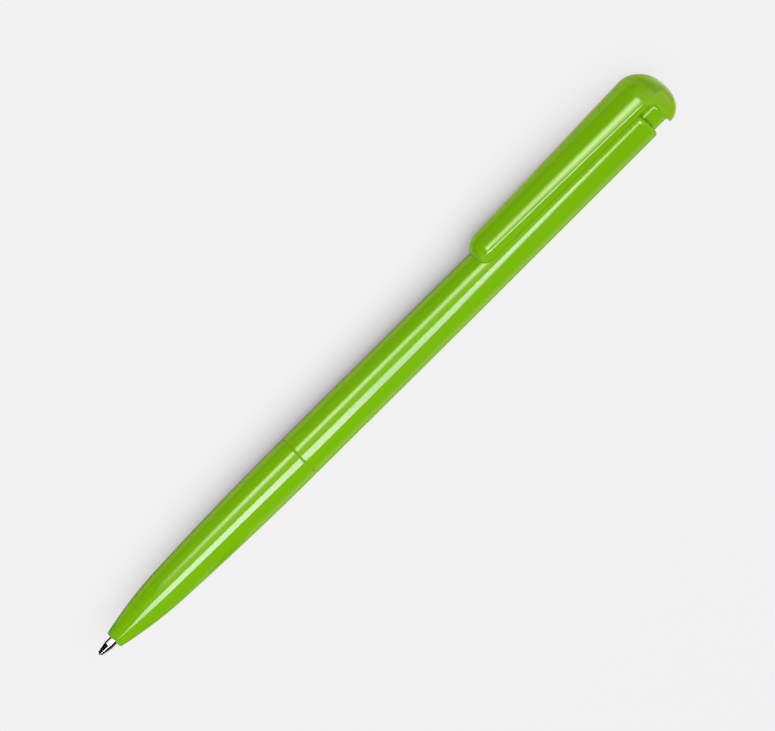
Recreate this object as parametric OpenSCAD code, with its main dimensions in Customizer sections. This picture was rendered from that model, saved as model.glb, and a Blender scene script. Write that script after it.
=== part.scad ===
// Push ballpoint pen whose domed button and pocket clip are one moulding.
// Every piece is drawn on the pen's own axis: z runs from the ball to the cap, x points at the clip.
// lay_down() then lays the pen on its barrel and the edge of its clip, with the point towards +X.
// All stations are millimetres from the front of the ball, with the point out.

/* [Barrel] */
// Diameter of the straight stretch of the barrel, and of both halves at the seam
barrel_d = 8.5; // [7.9:0.05:9.5]
// Diameter of the barrel at its top end
barrel_top_d = 8.2; // [7.6:0.05:9]
// Length of the lower half, from the nose to the seam
lower_len = 45.6; // [40:0.2:52]
// Straight stretch of the upper half, before it starts to taper
straight_len = 38; // [30:0.5:60]
// Bore of the upper half
barrel_bore_d = 6.6; // [6.2:0.05:6.8]
// Rounding of the barrel's top end
top_round = 0.7; // [0.2:0.05:0.75]
// Bevel on each side of the seam
seam_bevel = 0.12; // [0.05:0.01:0.3]

/* [Nose] */
// Diameter of the flat end of the nose
nose_d = 3.25; // [2.9:0.05:3.8]
// Bevel round the end of the nose
nose_bevel = 0.15; // [0.05:0.01:0.3]
// Diameter where the rounded nose meets the long curve of the lower half
shoulder_d = 6.98; // [6.6:0.02:7.6]
// Length of the rounded nose
ogive_len = 13.4; // [11:0.1:22]
// Length of the spigot that goes into the upper half
spigot_len = 8; // [5:0.5:12]
// Wall of the spigot
spigot_wall = 0.8; // [0.6:0.05:0.9]

/* [Refill] */
// How far the ball stands out of the nose
point_out = 3.6; // [3:0.1:4.2]
// Length of the refill, from the ball to the open end of its tube
refill_len = 106.8; // [105:0.1:108]
// Outer diameter of the refill tube
tube_d = 3.1; // [2.9:0.02:3.2]
// Bore of the refill tube
tube_bore_d = 2.2; // [1.8:0.02:2.3]
// Diameter and length of the tube's turned-down front end
stub_d = 2.8; // [2.6:0.02:2.88]
// Length of the tube's turned-down front end
stub_len = 2; // [1.5:0.1:3]
// Span across the crimped wings that carry the spring
wing_span = 4; // [3.6:0.05:4.1]
// Thickness of a wing
wing_thick = 0.8; // [0.5:0.05:1.2]
// Length of a wing along the tube
wing_len = 4; // [2.5:0.1:6]
// Distance from the ball to the front of the wings
wing_pos = 27.5; // [25:0.1:30]
// Length of ink in the tube
ink_len = 62; // [20:1:70]
// Length of the grease plug behind the ink
follower_len = 4; // [2:0.5:8]

/* [Point] */
// Diameter of the ball
ball_d = 0.8; // [0.6:0.05:0.8]
// Share of the ball's diameter that stands out of its socket
ball_show = 0.31; // [0.25:0.01:0.35]
// Thickness of the lip round the ball
lip_wall = 0.05; // [0.03:0.01:0.1]
// Diameter of the point's straight front
tip_d = 1.68; // [1.4:0.02:1.8]
// Distance from the front of the ball to the back of the point's cone
tip_cone_len = 2.25; // [1.8:0.05:2.8]
// Distance from the front of the ball to the point's collar
tip_front_len = 8.5; // [8:0.1:9]
// Diameter of the collar that stops the point against the tube
collar_d = 2.3; // [2:0.05:2.7]
// Length of the collar
collar_len = 2; // [1:0.1:3]
// Length of the point's stem inside the tube
stem_len = 6; // [4:0.5:8]
// Diameter of the feed hole behind the ball
feed_d = 0.4; // [0.3:0.02:0.5]
// Diameter of the ink chamber in the stem
chamber_d = 1.1; // [0.9:0.05:1.4]

/* [Spring] */
// Diameter of the spring wire
wire_d = 0.35; // [0.25:0.01:0.38]
// Turns of the spring that work
active_turns = 9; // [6:1:12]
// Turns at each end that lie close together
closed_turns = 1.25; // [1:0.25:2]

/* [Click cam] */
// How far the point draws back from the writing position
retract = 5; // [4.6:0.1:5.5]
// How far the button still presses in from the writing position
overtravel = 1.6; // [1.2:0.1:1.8]
// Diameter between the guide ribs
guide_d = 4.4; // [4.3:0.02:4.6]
// Diameter at the bottom of the slots between the ribs
slot_d = 5.9; // [5.7:0.02:6.2]
// Width of a slot
slot_w = 1.7; // [1.5:0.05:1.9]
// Slots round the barrel
slot_count = 4; // [3:1:4]
// Rise of the saw teeth on the ends of the ribs
saw_rise = 0.8; // [0.5:0.05:1]
// Length of the rotor from the refill's end to its ring of teeth
rotor_head = 4.2; // [3.8:0.1:5]
// Length of a rotor fin
rotor_fin = 4; // [3:0.1:4.5]
// Depth of the cup that holds the refill's end
cup_depth = 3; // [2:0.1:5]
// Wall of that cup
cup_wall = 0.72; // [0.5:0.02:1]
// Diameter of the rotor's spindle
spindle_d = 2.4; // [2:0.05:2.6]
// Length of the rotor's spindle
spindle_len = 5; // [4:0.1:5.5]
// Height of the crown teeth between plunger and rotor
crown_rise = 0.6; // [0.4:0.02:0.8]
// Length of the plunger's toothed crown up to its fins
crown_len = 1.2; // [0.9:0.1:2]
// Length of a plunger fin
plunger_fin = 2.4; // [2:0.1:3]
// Diameter of the plunger's stem
plunger_d = 3.8; // [3.4:0.05:4]
// Length of the stem that is pressed into the button
plunger_grip = 5.5; // [4:0.1:8]
// Thickness of the ring that stops the plunger
stop_ring = 1.2; // [0.8:0.1:1.6]

/* [Cap and clip] */
// Gap between the barrel and the dome with the point out
cap_gap = 3; // [2.4:0.1:4]
// Height of the dome above its flat underside
dome_h = 3.8; // [3:0.1:5]
// Diameter of the neck under the dome
neck_d = 6.4; // [6:0.02:6.5]
// How far the neck reaches into the barrel with the point out
neck_depth = 9.3; // [7:0.1:14]
// Fillet between the neck and the dome
neck_fillet = 0.4; // [0.1:0.05:0.6]
// Radius of the dome's round back
back_r = 4.05; // [3.8:0.01:4.2]
// How far below the dome's underside its front starts to curve
dome_lead = 1.75; // [1:0.05:3]
// Straight stretch at the dome's back before it curves
dome_back = 0.4; // [0.2:0.1:1]
// Distance of the dome's crown from the pen's axis, towards the clip
crown_shift = 1; // [0.5:0.1:1.5]
// Edge radius that the clip's edges grow to as they run out over the dome
dome_edge = 2.2; // [1:0.1:2.6]
// Length of the clip below the dome's underside
clip_len = 41.2; // [32:0.1:46]
// Height of the clip's face above the barrel, at the dome
root_rise = 3.32; // [2.9:0.02:3.9]
// Radius of the clip's rounded face at the dome
root_r = 6.3; // [5.5:0.05:7]
// Width of the clip at the dome
root_w = 8.46; // [7.6:0.02:8.7]
// Height of the clip's face above the barrel, at its free end
free_rise = 2.35; // [2.1:0.01:2.9]
// Radius of the clip's rounded face at its free end
free_r = 4.45; // [4:0.05:5.2]
// Width of the clip at its free end
free_w = 5.75; // [5:0.05:6.2]
// Gap between the barrel and the clip's lower edge, at the dome
root_gap = 0.7; // [0.5:0.05:1]
// How far the clip's lower edge reaches down beside the barrel, at its free end
free_dip = 0.4; // [0.2:0.05:0.5]
// Edge radius of the clip
clip_edge = 0.5; // [0.3:0.02:0.7]
// Length over which the free end is rounded
end_len = 3.4; // [2.5:0.1:4]
// Wall of the hollow clip
clip_wall = 1.2; // [1:0.05:1.4]
// Solid pad at the free end, which grips the pocket
pad_len = 3.8; // [3:0.1:6]

/* [Fits] */
// Radial play of sliding pieces
slide_gap = 0.1; // [0.05:0.01:0.15]
// Radial play of the spigot in the upper half
spigot_gap = 0.05; // [0.03:0.01:0.1]
// Radial play of the ball in its socket
ball_gap = 0.02; // [0.01:0.005:0.04]
// Gap between the clip's pad and the barrel
clip_gap = 0.25; // [0.15:0.01:0.4]
// Play at the ends of the stroke
stop_gap = 0.1; // [0.05:0.01:0.2]
// Play between ink and what holds it
ink_gap = 0.02; // [0.01:0.005:0.03]

/* [Hidden] */
$fn = 96;
eps = 0.01;
far = 20;

// Radii
barrel_r = barrel_d / 2;
top_r = barrel_top_d / 2;
bore_r = barrel_bore_d / 2;
nose_r = nose_d / 2;
shoulder_r = shoulder_d / 2;
tube_r = tube_d / 2;
tube_bore_r = tube_bore_d / 2;
stub_r = stub_d / 2;
tip_r = tip_d / 2;
collar_r = collar_d / 2;
ball_r = ball_d / 2;
guide_r = guide_d / 2;
slot_r = slot_d / 2;
neck_r = neck_d / 2;
plunger_r = plunger_d / 2;
spindle_r = spindle_d / 2;
wire_r = wire_d / 2;
spigot_r = bore_r - spigot_gap;
round_r = min(top_round, top_r - neck_r - 2 * slide_gap);
spring_r = tube_r + slide_gap + wire_r;
spring_room_r = max(spring_r + wire_r, wing_span / 2) + slide_gap + ball_gap;
hub_r = guide_r - slide_gap;
fin_r = slot_r - slide_gap;
fin_w = slot_w - 2 * slide_gap;
cup_r = tube_r + slide_gap + cup_wall;

// Stations along the barrel
z_nose = point_out;
z_shoulder = z_nose + ogive_len;
z_seam = z_nose + lower_len;
z_spigot = z_seam + spigot_len;
z_taper = z_seam + straight_len;

// Stations along the refill, and the steps in the nose that clear it at the end of the press
z_collar = tip_front_len;
z_stub = z_collar + collar_len;
z_tube = z_stub + stub_len;
z_stem = z_stub + stem_len;
z_ink = z_stem + ink_len;
nose_cone = 0.4;
z_land = z_collar - overtravel - stop_gap - nose_cone;
z_guide = z_tube - overtravel - stop_gap - nose_cone;
seat_ring = 0.8;
z_seat = z_guide + seat_ring;

// Stations along the click cam
z_cup = refill_len;
z_crown = z_cup + rotor_head;
z_ribs = z_crown + crown_rise + saw_rise / 2 + stop_gap;
z_rotor_fin = z_ribs - stop_gap - rotor_fin;
z_cup_top = min(z_rotor_fin, z_ribs - retract - 2 * stop_gap);
z_teeth = z_crown + crown_rise + stop_gap;
z_plunger_fin = z_teeth + crown_rise + crown_len;
z_plunger_top = z_plunger_fin + plunger_fin;
z_stop = z_plunger_top + retract + stop_gap;
z_ring = z_stop + stop_ring;
z_neck = z_ring + overtravel + stop_gap;
z_spindle = z_crown + spindle_len;
spindle_room = 1.5;
z_spindle_room = z_spindle + spindle_room;
z_grip = z_neck + plunger_grip;
crown_teeth = 2 * slot_count;
crown_in_r = spindle_r + slide_gap;
crown_pitch = 360 / crown_teeth;

// Stations of the barrel's top end and of the cap, which follow from the refill and the click cam
z_top = z_neck + neck_depth;
z_dome = z_top + cap_gap;
z_end = z_dome + dome_h;
z_front = z_dome - dome_lead;
z_back = z_dome + dome_back;
z_free = z_dome - clip_len;
core_depth = 0.8;
z_core = z_dome + core_depth;

// Heights of the clip's face and of its lower edge above the axis
root_h = barrel_r + root_rise;
free_h = barrel_r + free_rise;
root_under = barrel_r + root_gap;
free_under = barrel_r + clip_gap - free_dip;

// How the pen lies: rolled until the clip's widest edge is level with the foot of the barrel
root_edge_y = root_w / 2 - clip_edge;
root_edge_x = root_h - root_r + sqrt(pow(root_r - clip_edge, 2) - pow(root_edge_y, 2));
roll = asin((barrel_r - clip_edge) / norm([root_edge_x, root_edge_y])) - atan2(root_edge_y, root_edge_x);
clip_reach = (root_h - root_r) * cos(roll) + root_r;
axis_y = (clip_reach - barrel_r) / 2;

// Colours
lime = [0.42, 0.7, 0.03];
natural = [0.93, 0.92, 0.88];
silver = [0.75, 0.75, 0.74];

function mix(a, b, t) = a + (b - a) * t;

function smooth(t) = let (u = min(1, max(0, t))) u * u * (3 - 2 * u);

// The long curve of the lower half: an arc that runs out level at the seam
long_len = z_seam - z_shoulder;
long_drop = barrel_r - shoulder_r;
long_r = (pow(long_len, 2) + pow(long_drop, 2)) / (2 * long_drop);
function long_curve(z) = [barrel_r - long_r + sqrt(pow(long_r, 2) - pow(z_seam - z, 2)), z];

// The rounded nose: an arc from the flat end that runs out into the long curve
shoulder_slope = long_len / (long_r - long_drop);
slant = norm([1, shoulder_slope]);
ogive_drop = shoulder_r - nose_r - shoulder_slope * ogive_len;
ogive_r = (pow(ogive_len, 2) + pow(shoulder_r - nose_r, 2)) * slant / (2 * ogive_drop);
ogive_centre = [shoulder_r, z_shoulder] + ogive_r / slant * [-1, shoulder_slope];
function ogive(z) = [ogive_centre.x + sqrt(pow(ogive_r, 2) - pow(z - ogive_centre.y, 2)), z];

// Points of an arc about a centre, from one angle to another
function arc(centre, r, from, to, n) =
    [for (i = [0 : n]) let (a = mix(from, to, i / n)) centre + r * [cos(a), sin(a)]];

// Lays a piece drawn on the pen's axis down on the table
module lay_down() {
    translate([z_end / 2, axis_y, barrel_r])
        rotate([90 + roll, 0, 0])
            rotate([0, -90, 0])
                children();
}

// A disc or ring of material about the axis between two stations
module ring(r, from, to, hole = 0) {
    translate([0, 0, from])
        difference() {
            cylinder(r = r, h = to - from);
            if (hole > 0)
                translate([0, 0, -1])
                    cylinder(r = hole, h = to - from + 2);
        }
}

// Straight bars that cross the axis: the slots of the guide and the fins that run in them
module spokes(r, w, from, to) {
    intersection() {
        ring(r, from, to);
        for (i = [0 : slot_count - 1])
            rotate([0, 0, i * 360 / slot_count])
                translate([0, -w / 2, from - 1])
                    cube([far, w, to - from + 2]);
    }
}

// An outline of points [across, along] carried straight out from the axis, one copy per angle
module radial(points, angles) {
    for (a = angles)
        rotate([0, 0, a])
            rotate([90, 0, 90])
                linear_extrude(far)
                    polygon(points);
}

// Lower barrel
ogive_n = 16;
long_n = 12;

module lower_barrel() {
    skin = concat(
        [[nose_r - nose_bevel, z_nose]],
        [for (i = [0 : ogive_n]) ogive(mix(z_nose + nose_bevel, z_shoulder, i / ogive_n))],
        [for (i = [1 : long_n]) long_curve(mix(z_shoulder, z_seam - 2 * seam_bevel, i / long_n))],
        [[barrel_r - seam_bevel, z_seam],
         [spigot_r, z_seam], [spigot_r, z_spigot - 2 * seam_bevel], [spigot_r - seam_bevel, z_spigot]]);
    bore = [[spigot_r - spigot_wall, z_spigot], [spring_room_r, z_seat],
            [tube_r + slide_gap + ball_gap, z_seat], [tube_r + slide_gap + ball_gap, z_guide],
            [stub_r + slide_gap, z_guide - nose_cone], [stub_r + slide_gap, z_land + nose_cone],
            [tip_r + slide_gap, z_land], [tip_r + slide_gap, z_nose]];
    color(lime)
        lay_down()
            rotate_extrude()
                polygon(concat(skin, bore));
}

// Upper barrel
rib_lead = 1;

module rib_saw() {
    half = (PI * (guide_r + slot_r) / slot_count - slot_w) / 2;
    step = saw_rise;
    intersection() {
        ring(slot_r, z_ribs - 1, z_ribs + 2 * step, guide_r - slide_gap);
        radial([[-2 * half, z_ribs - 1], [2 * half, z_ribs - 1], [2 * half, z_ribs + 2 * step],
                [half, z_ribs + step], [0, z_ribs], [0, z_ribs + step], [-half, z_ribs],
                [-2 * half, z_ribs - step]],
               [for (i = [0 : slot_count - 1]) (i + 0.5) * 360 / slot_count]);
    }
}

module upper_barrel() {
    skin = concat(
        [[bore_r, z_seam], [barrel_r - seam_bevel, z_seam], [barrel_r, z_seam + 2 * seam_bevel],
         [barrel_r, z_taper]],
        arc([top_r - round_r, z_top - round_r], round_r, 0, 90, 8));
    bore = [[neck_r + slide_gap, z_top], [neck_r + slide_gap, z_ring], [plunger_r + slide_gap, z_ring],
            [plunger_r + slide_gap, z_stop], [guide_r, z_stop], [guide_r, z_ribs],
            [slot_r, z_ribs], [slot_r, z_ribs - rib_lead], [bore_r, z_ribs - 2 * rib_lead]];
    color(lime)
        lay_down()
            difference() {
                rotate_extrude()
                    polygon(concat(skin, bore));
                spokes(slot_r, slot_w, z_ribs - eps, z_stop);
                rib_saw();
            }
}

// Push cap: dome, clip and neck
front_n = 10;
edge_n = 5;
back_n = 10;
end_n = 8;
body_n = 6;
dome_n = 12;
end_power = 2.4;
dome_power = 2.07;
cap_foot = 1;

// Station from 0 at the clip's free end to 1 where the dome starts, and what follows from it
function clip_t(z) = (z - z_free) / (z_front - z_free);
function face_h(z) = mix(free_h, root_h, clip_t(z));
function face_r(z) = mix(free_r, root_r, clip_t(z));
function half_w(z) = mix(free_w, root_w, clip_t(z)) / 2;
function under_h(z) = mix(free_under, root_under, (z - z_free) / clip_len);

// Half of the cap's outline across the pen: rounded face, edge, straight side and round back
function half_outline(z, edge) =
    let (c = face_h(z) - face_r(z),
         ey = half_w(z) - edge,
         ex = c + sqrt(pow(face_r(z) - edge, 2) - ey * ey),
         lean = atan2(ey, ex - c),
         side = atan2(ey, ex) + acos((back_r - edge) / norm([ex, ey])))
    concat(arc([c, 0], face_r(z), 0, lean, front_n),
           [for (i = [1 : edge_n]) let (a = mix(lean, side, i / edge_n)) [ex, ey] + edge * [cos(a), sin(a)]],
           arc([0, 0], back_r, side, 180, back_n));

// The whole outline, with the other half mirrored and the two shared points left out of it
function outline(z, edge) =
    let (half = half_outline(z, edge), n = len(half))
    concat(half, [for (i = [n - 2 : -1 : 1]) [half[i].x, -half[i].y]]);

// Ring of points near the free end: the outline drawn in towards the clip's lower edge
function end_ring(a) =
    let (z = z_free + end_len * (1 - pow(cos(a), 2 / end_power)), f = pow(sin(a), 2 / end_power))
    [for (p = outline(z, clip_edge)) [mix(under_h(z), p.x, f), p.y * f, z]];

function body_ring(z) = [for (p = outline(z, clip_edge)) [p.x, p.y, z]];

// Ring of points on the dome: each meridian is a full quarter oval, longer at the face than at the back
function dome_ring(a) =
    let (edge = mix(clip_edge, dome_edge, smooth(a / 50)),
         out = pow(cos(a), 2 / dome_power),
         up = pow(sin(a), 2 / dome_power))
    [for (p = outline(z_front, edge))
        let (back = (1 - (p.x - crown_shift) / norm([p.x - crown_shift, p.y])) / 2,
             z = mix(z_front, z_back, back))
        [mix(crown_shift, p.x, out), p.y * out, mix(z, z_end, up)]];

// Closed skin over rings of points, with a single point at each end
module skin_over(first, rings, last) {
    n = len(rings[0]);
    m = len(rings);
    points = concat([first], [for (r = rings) each r], [last]);
    sides = [for (j = [0 : m - 2], i = [0 : n - 1])
        let (a = 1 + j * n + i, b = 1 + j * n + (i + 1) % n)
        each [[a, a + n, b], [b, a + n, b + n]]];
    start = [for (i = [0 : n - 1]) [0, 1 + i, 1 + (i + 1) % n]];
    finish = [for (i = [0 : n - 1]) [1 + m * n, 1 + (m - 1) * n + (i + 1) % n, 1 + (m - 1) * n + i]];
    polyhedron(points, concat(start, sides, finish));
}

module cap_skin() {
    skin_over(
        [under_h(z_free), 0, z_free],
        concat([for (i = [1 : end_n]) end_ring(90 * i / end_n)],
               [for (i = [1 : body_n]) body_ring(mix(z_free + end_len, z_front, i / body_n))],
               [for (i = [0 : dome_n - 1]) dome_ring(90 * i / dome_n)]),
        [crown_shift, 0, z_end]);
}

// What is cut away below the clip's lower edge and the dome's flat underside
module under_clip() {
    rotate([90, 0, 0])
        linear_extrude(2 * far, center = true)
            polygon([[-far, z_free - 1], [under_h(z_free - 1), z_free - 1],
                     [under_h(z_dome - cap_foot), z_dome - cap_foot],
                     [root_under - cap_foot, z_dome], [-far, z_dome]]);
}

// The hollow of the clip, open towards the barrel
module clip_hollow() {
    from = z_free + pad_len;
    to = z_front - clip_wall / 2;
    rings = [for (z = [from, to])
        let (w = half_w(z) - clip_wall, r = face_r(z) - clip_wall, lean = asin(w / r))
        concat([for (p = arc([face_h(z) - face_r(z), 0], r, -lean, lean, front_n)) [p.x, p.y, z]],
               [[0, w, z], [0, -w, z]])];
    skin_over([under_h(from), 0, from], rings, [under_h(to), 0, to]);
}

// The dome with its clip, before the neck is added
module cap_shell() {
    difference() {
        difference() {
            cap_skin();
            under_clip();
            clip_hollow();
        }
        ring(barrel_r + clip_gap, z_free - 1, z_free + pad_len + clip_gap);
    }
}

module neck() {
    rotate_extrude()
        polygon(concat(
            [[0, z_neck], [neck_r - 2 * stop_gap, z_neck], [neck_r, z_neck + 2 * stop_gap]],
            arc([neck_r + neck_fillet, z_dome - neck_fillet], neck_fillet, 180, 90, 6),
            [[neck_r + neck_fillet, z_dome + eps], [0, z_dome + eps]]));
}

module push_cap() {
    color(lime)
        lay_down()
            difference() {
                union() {
                    cap_shell();
                    neck();
                }
                ring(plunger_r, z_neck - 1, z_core);
            }
}

// Plunger
module plunger() {
    color(natural)
        lay_down()
            union() {
                difference() {
                    rotate_extrude()
                        polygon([[crown_in_r, z_teeth], [hub_r, z_teeth], [hub_r, z_plunger_top],
                                 [plunger_r, z_plunger_top + hub_r - plunger_r],
                                 [plunger_r, z_grip - stop_gap],
                                 [plunger_r - stop_gap, z_grip], [0, z_grip], [0, z_spindle_room],
                                 [crown_in_r, z_spindle_room]]);
                    crown_notches();
                }
                difference() {
                    spokes(fin_r, fin_w, z_plunger_fin, z_plunger_top);
                    ring(hub_r - slide_gap, z_plunger_fin - 1, z_plunger_top + 1);
                }
            }
}

// The notches between the plunger's crown teeth, a quarter pitch on from the rotor's
module crown_notches() {
    half = PI * (hub_r + crown_in_r) / 2 / crown_teeth;
    radial([[-half, z_teeth - eps], [0, z_teeth + crown_rise], [half, z_teeth - eps]],
           [for (i = [0 : crown_teeth - 1]) (i + 0.25) * crown_pitch]);
}

// Cam rotor
module cam_rotor() {
    color(natural)
        lay_down()
            union() {
                rotate_extrude()
                    polygon([[tube_r + slide_gap, z_cup - cup_depth], [cup_r, z_cup - cup_depth],
                             [cup_r, z_cup_top], [hub_r, z_cup_top], [hub_r, z_crown], [spindle_r, z_crown],
                             [spindle_r, z_spindle - stop_gap], [spindle_r - stop_gap, z_spindle],
                             [0, z_spindle], [0, z_cup], [tube_r + slide_gap, z_cup]]);
                intersection() {
                    ring(hub_r, z_crown - eps, z_crown + crown_rise, spindle_r);
                    crown_tips();
                }
                difference() {
                    spokes(fin_r, fin_w, z_rotor_fin, z_ribs - stop_gap);
                    ring(hub_r - slide_gap, z_rotor_fin - 1, z_ribs + 1);
                    ring(guide_r, z_crown, z_ribs + 1);
                    fin_slopes();
                }
            }
}

// The rotor's ring of pointed teeth
module crown_tips() {
    half = PI * (hub_r + crown_in_r) / 2 / crown_teeth;
    radial([[-half, z_crown - eps], [half, z_crown - eps], [0, z_crown + crown_rise]],
           [for (i = [0 : crown_teeth - 1]) i * crown_pitch]);
}

// The slope across the top of each rotor fin
module fin_slopes() {
    top = z_ribs - stop_gap;
    radial([[-fin_w, top - 2 * saw_rise], [fin_w / 2, top], [fin_w, top + 1], [-fin_w, top + 1]],
           [for (i = [0 : slot_count - 1]) i * 360 / slot_count]);
}

// Return spring
wire_sides = 6;
turn_steps = 16;
turns = active_turns + 2 * closed_turns;
closed_pitch = 1.15 * wire_d;
spring_rise = wing_pos - z_seat - wire_d - 2 * ink_gap;
active_pitch = (spring_rise - 2 * closed_turns * closed_pitch) / active_turns;

// Height of the wire after so many turns: close, open, close
function coil_z(t) =
    let (low = min(t, closed_turns), high = max(0, t - closed_turns - active_turns))
    z_seat + ink_gap + wire_r + (low + high) * closed_pitch + (t - low - high) * active_pitch;

function coil_ring(t) =
    [for (i = [0 : wire_sides - 1])
        let (a = 360 * i / wire_sides, r = spring_r + wire_r * cos(a))
        [r * cos(360 * t), r * sin(360 * t), coil_z(t) + wire_r * sin(a)]];

function coil_mid(t) = [spring_r * cos(360 * t), spring_r * sin(360 * t), coil_z(t)];

module return_spring() {
    steps = round(turns * turn_steps);
    color(silver)
        lay_down()
            skin_over(coil_mid(0), [for (i = [0 : steps]) coil_ring(turns * i / steps)], coil_mid(turns));
}

// Refill
module refill_tube() {
    color(natural)
        lay_down()
            union() {
                rotate_extrude()
                    polygon([[tube_bore_r, z_stub], [stub_r, z_stub], [stub_r, z_tube - slide_gap],
                             [tube_r, z_tube], [tube_r, refill_len], [tube_bore_r, refill_len]]);
                for (side = [0, 180])
                    rotate([0, 0, side])
                        wing();
            }
}

// One crimped wing: square to the spring in front, running out along the tube behind
module wing() {
    rotate([90, 0, 0])
        linear_extrude(wing_thick, center = true)
            polygon([[tube_r - stop_gap, wing_pos], [wing_span / 2, wing_pos],
                     [wing_span / 2, wing_pos + wing_len / 2], [tube_r - stop_gap, wing_pos + wing_len]]);
}

// Front of the metal lip: how far back the socket's mouth lies
z_lip = ball_d * ball_show;
lip_r = sqrt(pow(ball_r + ball_gap, 2) - pow(ball_r - z_lip, 2)) + lip_wall;

module refill_tip() {
    color(silver)
        lay_down()
            difference() {
                rotate_extrude()
                    polygon([[0, z_lip], [lip_r, z_lip], [tip_r, tip_cone_len], [tip_r, z_collar],
                             [collar_r, z_collar], [collar_r, z_stub], [tube_bore_r, z_stub],
                             [tube_bore_r, z_stem], [chamber_d / 2, z_stem], [chamber_d / 2, z_stub],
                             [feed_d / 2, z_stub - chamber_d], [feed_d / 2, ball_r], [0, ball_r]]);
                translate([0, 0, ball_r])
                    sphere(r = ball_r + ball_gap);
            }
}

module writing_ball() {
    color(silver)
        lay_down()
            translate([0, 0, ball_r])
                sphere(r = ball_r);
}

module ink_column() {
    color([0.03, 0.06, 0.25])
        lay_down()
            rotate_extrude()
                polygon([[0, ball_d + 2 * ball_gap], [feed_d / 2 - ink_gap, ball_d + 2 * ball_gap],
                         [feed_d / 2 - ink_gap, z_stub - chamber_d + ink_gap],
                         [chamber_d / 2 - ink_gap, z_stub + ink_gap],
                         [chamber_d / 2 - ink_gap, z_stem + ink_gap],
                         [tube_bore_r - ink_gap, z_stem + ink_gap],
                         [tube_bore_r - ink_gap, z_ink], [0, z_ink]]);
}

module ink_follower() {
    color([0.85, 0.83, 0.72])
        lay_down()
            ring(tube_bore_r - ink_gap, z_ink, z_ink + follower_len);
}

lower_barrel();
upper_barrel();
push_cap();
plunger();
cam_rotor();
return_spring();
refill_tube();
refill_tip();
writing_ball();
ink_column();
ink_follower();
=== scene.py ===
"""Looks of a push ballpoint pen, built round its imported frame.

Sizes are in metres. A shape is worked out in pen coordinates: x points at the clip, y lies across it,
and s is the station along the axis, counted from the front of the ball towards the cap. lay_down() puts
them in the frame.
"""

import math

import bmesh
import bpy
import numpy as np
from bpy.props import FloatProperty, FloatVectorProperty, IntProperty, PointerProperty
from mathutils import Matrix, Vector


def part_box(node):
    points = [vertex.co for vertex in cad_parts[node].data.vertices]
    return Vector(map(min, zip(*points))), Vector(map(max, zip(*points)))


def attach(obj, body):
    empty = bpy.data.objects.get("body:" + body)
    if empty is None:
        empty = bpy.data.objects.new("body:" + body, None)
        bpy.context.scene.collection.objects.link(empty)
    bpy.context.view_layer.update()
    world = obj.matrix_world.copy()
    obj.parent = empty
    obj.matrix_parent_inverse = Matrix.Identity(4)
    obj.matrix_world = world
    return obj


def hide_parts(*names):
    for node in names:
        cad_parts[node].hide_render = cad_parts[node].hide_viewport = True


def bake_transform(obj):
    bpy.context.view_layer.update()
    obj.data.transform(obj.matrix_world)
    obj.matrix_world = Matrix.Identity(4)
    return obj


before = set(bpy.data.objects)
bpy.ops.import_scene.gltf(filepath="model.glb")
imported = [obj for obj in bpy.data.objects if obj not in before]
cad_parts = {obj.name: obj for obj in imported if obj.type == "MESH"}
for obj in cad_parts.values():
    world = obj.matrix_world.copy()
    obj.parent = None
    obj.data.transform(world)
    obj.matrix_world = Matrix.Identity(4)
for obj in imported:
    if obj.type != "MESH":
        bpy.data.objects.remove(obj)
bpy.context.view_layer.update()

bl_info = {
    "name": "Push ballpoint pen",
    "version": (1, 0, 0),
    "blender": (4, 5, 0),
    "location": "View3D > Sidebar > Pen",
    "description": "Smooth mouldings, finishes and stage for a push ballpoint pen",
    "category": "Add Mesh",
}

MM = 0.001
MERGE = 0.0002 * MM
SHARP_ANGLE = math.radians(32)
FULL_TURN = 2 * math.pi
QUARTER = math.pi / 2
TINY = 1e-9
SURFACE_MAP = "Surface"

# Places that the frame gives
TIP_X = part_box("writing_ball")[1].x
REAR_LOW, REAR_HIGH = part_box("upper_barrel")
AXIS_Y = (REAR_LOW.y + REAR_HIGH.y) / 2
AXIS_Z = (REAR_LOW.z + REAR_HIGH.z) / 2
BARREL_R = (REAR_HIGH.z - REAR_LOW.z) / 2


def stations(node):
    """Front and rear station of a node of the frame."""
    low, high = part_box(node)
    return TIP_X - high.x, TIP_X - low.x


S_NOSE, S_SPIGOT = stations("lower_barrel")
S_SEAM, S_TOP = stations("upper_barrel")
S_END = stations("push_cap")[1]
S_STUB, S_REFILL_END = stations("refill_tube")
S_LIP, S_STEM = stations("refill_tip")
S_SPRING_FRONT, S_SPRING_REAR = stations("return_spring")
S_INK_FRONT, S_INK_REAR = stations("ink_column")
S_GREASE_REAR = stations("ink_follower")[1]
BALL_R = stations("writing_ball")[1] / 2


# Kinds of setting

def length(name, description, millimetres):
    """A length, given in millimetres."""
    return FloatProperty(name=name, description=description, default=millimetres * MM,
                         min=0.0, unit="LENGTH", precision=6)


def offset(name, description, millimetres):
    """A distance either way, given in millimetres."""
    return FloatProperty(name=name, description=description, default=millimetres * MM, unit="LENGTH")


def turn(name, description, degrees):
    """An angle, given in degrees."""
    return FloatProperty(name=name, description=description, default=math.radians(degrees),
                         subtype="ANGLE")


def share(name, description, value):
    """A share between 0 and 1."""
    return FloatProperty(name=name, description=description, default=value,
                         min=0.0, max=1.0, subtype="FACTOR")


def number(name, description, value):
    """A plain number."""
    return FloatProperty(name=name, description=description, default=value)


def colour(name, description, value):
    """A colour, in linear light."""
    return FloatVectorProperty(name=name, description=description, default=value, size=3,
                               min=0.0, max=1.0, subtype="COLOR")


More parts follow.
